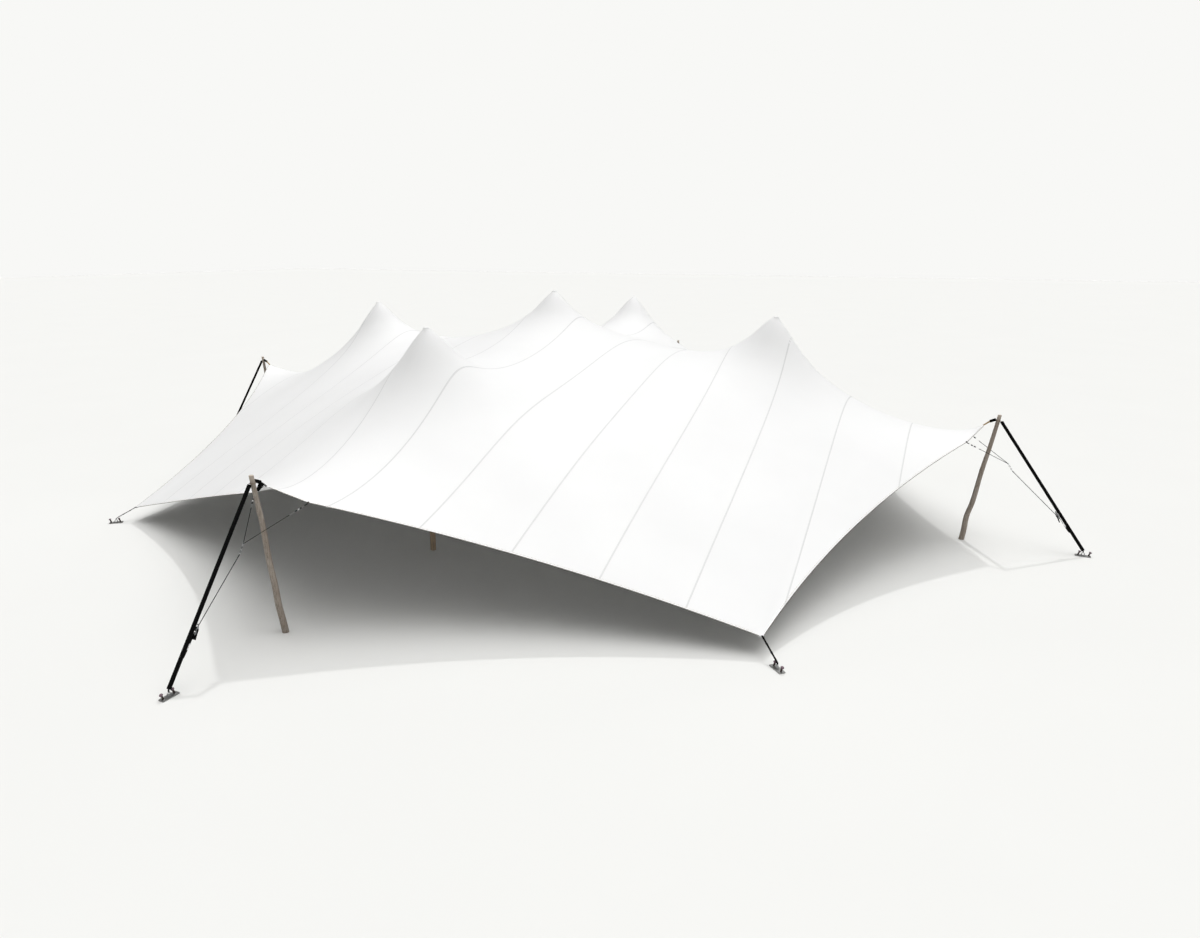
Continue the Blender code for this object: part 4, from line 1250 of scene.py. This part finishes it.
def make_bridle(side, degrees):
    stock = Stock()
    join, link = upright(BRIDLE_JOIN, BRIDLE_LINK)
    disc = [(0.0001, 0.0), (0.016, 0.0), (0.018, 0.002), (0.018, 0.005), (0.016, 0.0070),
            (0.0095, 0.0080), (0.0085, 0.0105), (0.0001, 0.011)]
    washer = [(0.0095, 0.0), (0.0140, 0.0), (0.0140, 0.0016), (0.0095, 0.0016)]
    for hand in (-1, 1):
        spot = np.array((CLAMP_OUT - 0.010, hand * (CLAMP_SIDE - 0.008), CLAMP_Z))
        # clamp: a nylon disc over and under the hem, bolted through it
        for flip, base in ((1, 0.0022), (-1, -0.0062)):
            stock.turned([(r, flip * z) for r, z in disc], 24, 1, centre=spot + base * UP)
        stock.turned(washer, 24, 2, centre=spot + 0.0088 * UP, closed=True)
        # arm of the lower jaw, then pale cord, two black toggles and a pale stopper between them
        start = spot + (0.012, 0, -0.018)
        way = unit(join - start)
        stock.run(straight(start, start + way * 0.060, 6), band_profile(0.026, 0.014), 1,
                  scale=(1.0, 1.1, 1.1, 1.0, 0.85, 0.6))
        laid_line(stock, beaded(stock, start + way * 0.055, way, BEADS), join, 0.0054, 70, (0.045, 0.0068))
    # junction: a forged ring with the three lines seized to it, then a short chain
    ring, bar = JOIN_RING
    torus = []
    for u in round_angles(24):
        way = np.array((math.cos(u), math.sin(u), 0))
        torus.append([ring * way + bar * (math.cos(v) * way + math.sin(v) * UP) for v in round_angles(8)])
    stock.loft(torus, 4, closed=True, place=Matrix.Translation(tuple(join)) @ turn_about("X", 90))
    down = unit(link - join)
    at = join + down * 0.010
    for k, (long, look) in enumerate(LINKS):
        centre = at + down * (long / 2)
        place = aim(centre, centre + down) @ turn_about("Z", 90 * (k % 2))
        stock.loft(chain_link(long, 0.019, 0.0032), look, closed=True, place=place)
        at = at + down * (long - 0.007)
    spindle = np.array(strap_point(0, SPINDLE_IN))
    laid_line(stock, at, spindle - unit(spindle - at) * (ROLL_RADIUS + 0.001), 0.0062, 90, (0.05, 0.0078))
    new_piece("bridle_lines_" + side, stock, [ROPE, NYLON, PALE_NYLON, GALVANISED, POLISHED],
              ["bridle_" + side], degrees)


for side, degrees in RAISED:
    make_bridle(side, degrees)


# Ratchets

def toothed_outline(radius, depth, teeth, level):
    rows = []
    for a in round_angles(teeth):
        b = a + 2 * math.pi / teeth * 0.82
        rows.append((radius * math.cos(a), level + radius * math.sin(a)))
        rows.append(((radius - depth) * math.cos(b), level + (radius - depth) * math.sin(b)))
    return rows


def make_ratchet(side, degrees):
    stock = Stock()
    place = strap_matrix()
    spin = -SPINDLE_IN
    # side plates of the frame, and the toothed wheels
    plate = [(-0.085, -0.040), (-0.078, -0.036), (-0.020, -0.036), (0.000, -0.036), (0.060, -0.036),
             (0.070, -0.038), (0.075, -0.045), (0.072, -0.056), (0.040, -0.066), (0.020, -0.076),
             (0.0, -0.086), (-0.016, -0.082), (-0.026, -0.074), (-0.050, -0.062), (-0.078, -0.058),
             (-0.085, -0.052)]
    wheel = toothed_outline(0.0185, 0.0045, 13, spin)
    for hand in (-1, 1):
        stock.plate(plate, hand * FRAME_INNER_Y, hand * (FRAME_INNER_Y + FRAME_PLATE), 0, place)
        stock.plate(wheel, hand * 0.0315, hand * 0.0335, 1, place, chamfer=0.0003)
    # spindle halves, roll of webbing and cross bars
    for off in (-0.0034, 0.0034):
        half = rounded_outline(0.0046, 0.010, 0.0022, (off, spin))
        stock.plate(half, -0.045, 0.045, 1, place, chamfer=0.0008)
    turns = []
    for k in range(61):
        a = 2 * math.pi * ROLL_TURNS * k / 60
        r = 0.0075 + 0.0098 * k / 60
        turns.append((r * math.cos(a), spin + r * math.sin(a)))
    stock.run(upright(*turns), band_profile(0.050, 0.0026), 2, place)
    for x in (-0.075, 0.066):
        bar = straight((x, -0.034, WEBBING_Z), (x, 0.034, WEBBING_Z), 5)
        stock.run(bar, round_profile(0.006, 14), 1, place, side=None, scale=[0.7, 1, 1, 1, 0.7])
    # spring pawl across the frame
    pawl = [(-0.044, -0.062), (-0.020, -0.062), (-0.017, -0.058), (-0.020, -0.054), (-0.044, -0.054)]
    stock.plate(pawl, -0.0270, 0.0270, 1, place)
    # webbing to the hook: it narrows as it folds into it
    folds = []
    for k, p in enumerate(straight(*upright((0.060, WEBBING_Z), (0.198, WEBBING_Z)), 12)):
        band = band_profile(0.050 * (1 - 0.42 * k / 11), 0.005 + 0.0035 * k / 11)
        folds.append(path_rings([p - (1e-4, 0, 0), p, p + (1e-4, 0, 0)], band, ACROSS)[1])
    stock.loft(folds, 2, place=place)
    wrap = upright(*((0.0655 + 0.0085 * math.cos(a), WEBBING_Z + 0.0085 * math.sin(a))
                     for a in np.radians(np.linspace(70, 290, 12))))
    stock.run(wrap, band_profile(0.048, 0.003), 2, place)
    # closed snap hook
    turn = Matrix.Translation((0.199, 0, WEBBING_Z)) @ turn_about("Y", 90) @ turn_about("Z", 90)
    stock.loft(chain_link(0.030, 0.034, 0.0042), 3, closed=True, place=place @ turn)
    shank = smooth_path(upright((0.212, WEBBING_Z), (0.236, -0.046), (0.250, -0.043), (0.266, -0.037),
                                (0.277, -0.036), (0.2785, -0.043), (0.272, -0.050), (0.258, -0.051)), 5)
    stock.run(shank, round_profile(0.0046, 12), 3, place,
              scale=1 + 0.25 * np.sin(np.linspace(0, math.pi, len(shank))))
    gate = upright((0.236, -0.0505), (0.262, -0.0525))
    stock.run(straight(*gate, 4), band_profile(0.008, 0.0016), 1, place)
    new_piece("ratchet_frame_" + side, stock, [FRAME_STEEL, BLACK_STEEL, BLACK, POLISHED],
              ["ratchet_" + side], degrees)


def make_handle(side, degrees):
    stock = Stock()
    place = strap_matrix(HANDLE_TILT, strap_point(0, SPINDLE_IN))
    arm = [(-0.0115, 0.0), (-0.0095, 0.0065), (-0.004, 0.0105), (0.004, 0.011), (0.060, 0.0085),
           (0.118, 0.0092), (0.128, 0.0105), (0.1350, 0.005), (0.1350, -0.005), (0.128, -0.0105),
           (0.118, -0.0092), (0.060, -0.0085), (0.004, -0.011), (-0.004, -0.0105), (-0.0095, -0.0065)]
    rib = rounded_outline(0.070, 0.006, 0.0028, (0.062, 0))
    for hand in (-1, 1):
        outer = hand * (HANDLE_INNER_Y + FRAME_PLATE)
        stock.plate(arm, hand * HANDLE_INNER_Y, outer, 0, place)
        stock.plate(rib, outer - 0.0004, outer + 0.0004, 0, place, chamfer=0.0003)
    # web that ties the arms, slide of the pawl and the ribbed grip
    web = rounded_outline(0.050, 0.0024, 0.0011, (0.092, -0.0085))
    stock.plate(web, -HANDLE_INNER_Y - 0.001, HANDLE_INNER_Y + 0.001, 0, place, chamfer=0.0004)
    slide = rounded_outline(0.030, 0.006, 0.0025, (0.050, -0.004))
    stock.plate(slide, -0.0355, 0.0355, 1, place, chamfer=0.0008)
    grip = []
    for k in range(25):
        r = 0.0070 if k in (0, 24) else 0.0102 if k % 2 else 0.0090
        grip.append([(HANDLE_LENGTH + r * math.cos(a), -0.0385 + 0.077 * k / 24, r * math.sin(a))
                     for a in round_angles(16)])
    stock.loft(grip, 2, place=place)
    new_piece("handle_arms_" + side, stock, [BLACK_STEEL, FRAME_STEEL, NYLON],
              ["ratchet_handle_" + side], degrees, "handle_" + side)


for side, degrees in RAISED:
    make_ratchet(side, degrees)
    make_handle(side, degrees)


# Anchors

def make_anchor(side, degrees, radius):
    stock = Stock()
    here = Matrix.Translation((radius, 0, 0))
    outline = rounded_outline(PLATE[0], PLATE[1], 0.010)
    stock.plate(outline, 0.0, PLATE[2], 0, here, axis="Z", chamfer=0.0015)
    # collars round the two stake holes, and the stakes
    length = (STAKE_TOP_Z - STAKE_FOOT_Z) / math.cos(STAKE_LEAN)
    collar = [(0.0165, 0.004), (0.0235, 0.004), (0.0240, 0.0105), (0.0220, 0.0125), (0.0165, 0.0125)]
    stem = [(0.0135, 0.0), (0.0140, 0.010), (0.0138, 0.035), (0.0148, length - 0.014),
            (0.0175, length - 0.004)]
    head = [(0.014, length - 0.008), (0.0245, length - 0.0075), (0.0262, length - 0.003),
            (0.0255, length + 0.003), (0.0225, length + 0.009), (0.0165, length + 0.0135),
            (0.0085, length + 0.0156), (0.0005, length + 0.016)]
    for hand in (-1, 1):
        at = (radius + hand * STAKE_STEP, 0, STAKE_FOOT_Z)
        foot = Matrix.Translation(at) @ Matrix.Rotation(STAKE_LEAN, 4, "Y")
        stock.turned(collar, 24, 0, foot, closed=True)
        stock.turned(stem, 20, 1, foot)
        stock.turned(head, 24, 2, foot)
    # shackle: bow, two eyes and the pin through them
    middle = PLATE[2] - 0.002 + BOW_RADIUS
    bow = upright(*((BOW_RADIUS * math.cos(a), middle + BOW_RADIUS * math.sin(a))
                    for a in np.radians(np.linspace(-52, 232, 26))))
    stock.run(bow, round_profile(BOW_BAR, 12), 3, here)
    pin = upright((-0.026, PLATE[2] + 0.0055), (0.026, PLATE[2] + 0.0055))
    stock.run(straight(*pin, 6), round_profile(0.0055, 12), 3, here, side=None,
              scale=[0.8, 1, 1, 1, 1, 0.8])
    for x in (-0.019, 0.019):
        bead = upright((x - 0.006, PLATE[2]), (x + 0.006, PLATE[2]))
        stock.run(straight(*bead, 4), round_profile(0.012, 12, 0.42), 0, here, scale=[0.6, 1, 1, 0.6])
    new_piece("anchor_plate_" + side, stock, [GALVANISED, STEM_PAINT, HEAD_PAINT, PRESSED],
              ["anchor_" + side], degrees)


for side, degrees in RAISED:
    make_anchor(side, degrees, ANCHOR_R)
for side, degrees in LOW:
    make_anchor(side, degrees, LOW_ANCHOR_R)


# The cloth is cut with hollow edges, and drawn out by about a tenth each way when raised


# Studio

def make_floor():
    stock = Stock()
    corners = ((-1, -1), (1, -1), (1, 1), (-1, 1))
    stock.points = [(x * FLOOR_REACH, y * FLOOR_REACH, FLOOR_Z) for x, y in corners]
    stock.faces = [(0, 1, 2, 3)]
    stock.uv = [((0, 0), (1, 0), (1, 1), (0, 1))]
    stock.look = [0]
    new_object("floor", stock.mesh("floor", [pale_floor()]))


def make_light():
    """A wide soft box overhead, brightest along SKY_AXIS, and a key from behind the tent."""
    world = bpy.data.worlds.new("studio")
    bpy.context.scene.world = world
    world.use_nodes = True
    tree = world.node_tree
    box = tree.nodes["Background"]
    box.inputs["Color"].default_value = (1.0, 1.0, 0.995, 1.0)
    way = add(tree, "ShaderNodeTexCoord")
    facing = add(tree, "ShaderNodeVectorMath", {0: way.outputs["Generated"], 1: SKY_AXIS},
                 operation="DOT_PRODUCT")
    fall = maths(tree, "POWER", maths(tree, "MAXIMUM", facing.outputs["Value"], 0.0), SKY_POWER)
    tree.links.new(maths(tree, "MULTIPLY_ADD", fall, SKY_TOP, SKY_LOW), box.inputs["Strength"])
    plain = add(tree, "ShaderNodeBackground", {"Color": linear("F8F8F6"), "Strength": 1.0})
    rays = add(tree, "ShaderNodeLightPath")
    shown = add(tree, "ShaderNodeMixShader", {0: rays.outputs["Is Camera Ray"], 1: box.outputs[0],
                                              2: plain.outputs[0]})
    tree.links.new(shown.outputs[0], tree.nodes["World Output"].inputs["Surface"])
    data = bpy.data.lights.new("key", "SUN")
    data.energy = KEY_STRENGTH
    data.angle = KEY_ANGLE
    key = bpy.data.objects.new("key", data)
    key.rotation_euler = Vector(KEY_FROM).to_track_quat("Z", "Y").to_euler()
    key.location = (-3, 12, 22)
    bpy.context.scene.collection.objects.link(key)


def make_camera():
    data = bpy.data.cameras.new("camera")
    data.sensor_fit = "HORIZONTAL"
    data.sensor_width = 36.0
    data.lens = LENS
    data.shift_x, data.shift_y = LENS_SHIFT
    data.clip_end = 500.0
    camera = bpy.data.objects.new("camera", data)
    camera.location = CAMERA_PLACE
    camera.rotation_euler = (math.radians(90 - CAMERA_DOWN), 0, math.radians(CAMERA_ROUND))
    bpy.context.scene.collection.objects.link(camera)
    bpy.context.scene.camera = camera


make_floor()
make_light()
make_camera()
bpy.context.scene.view_settings.view_transform = "Standard"
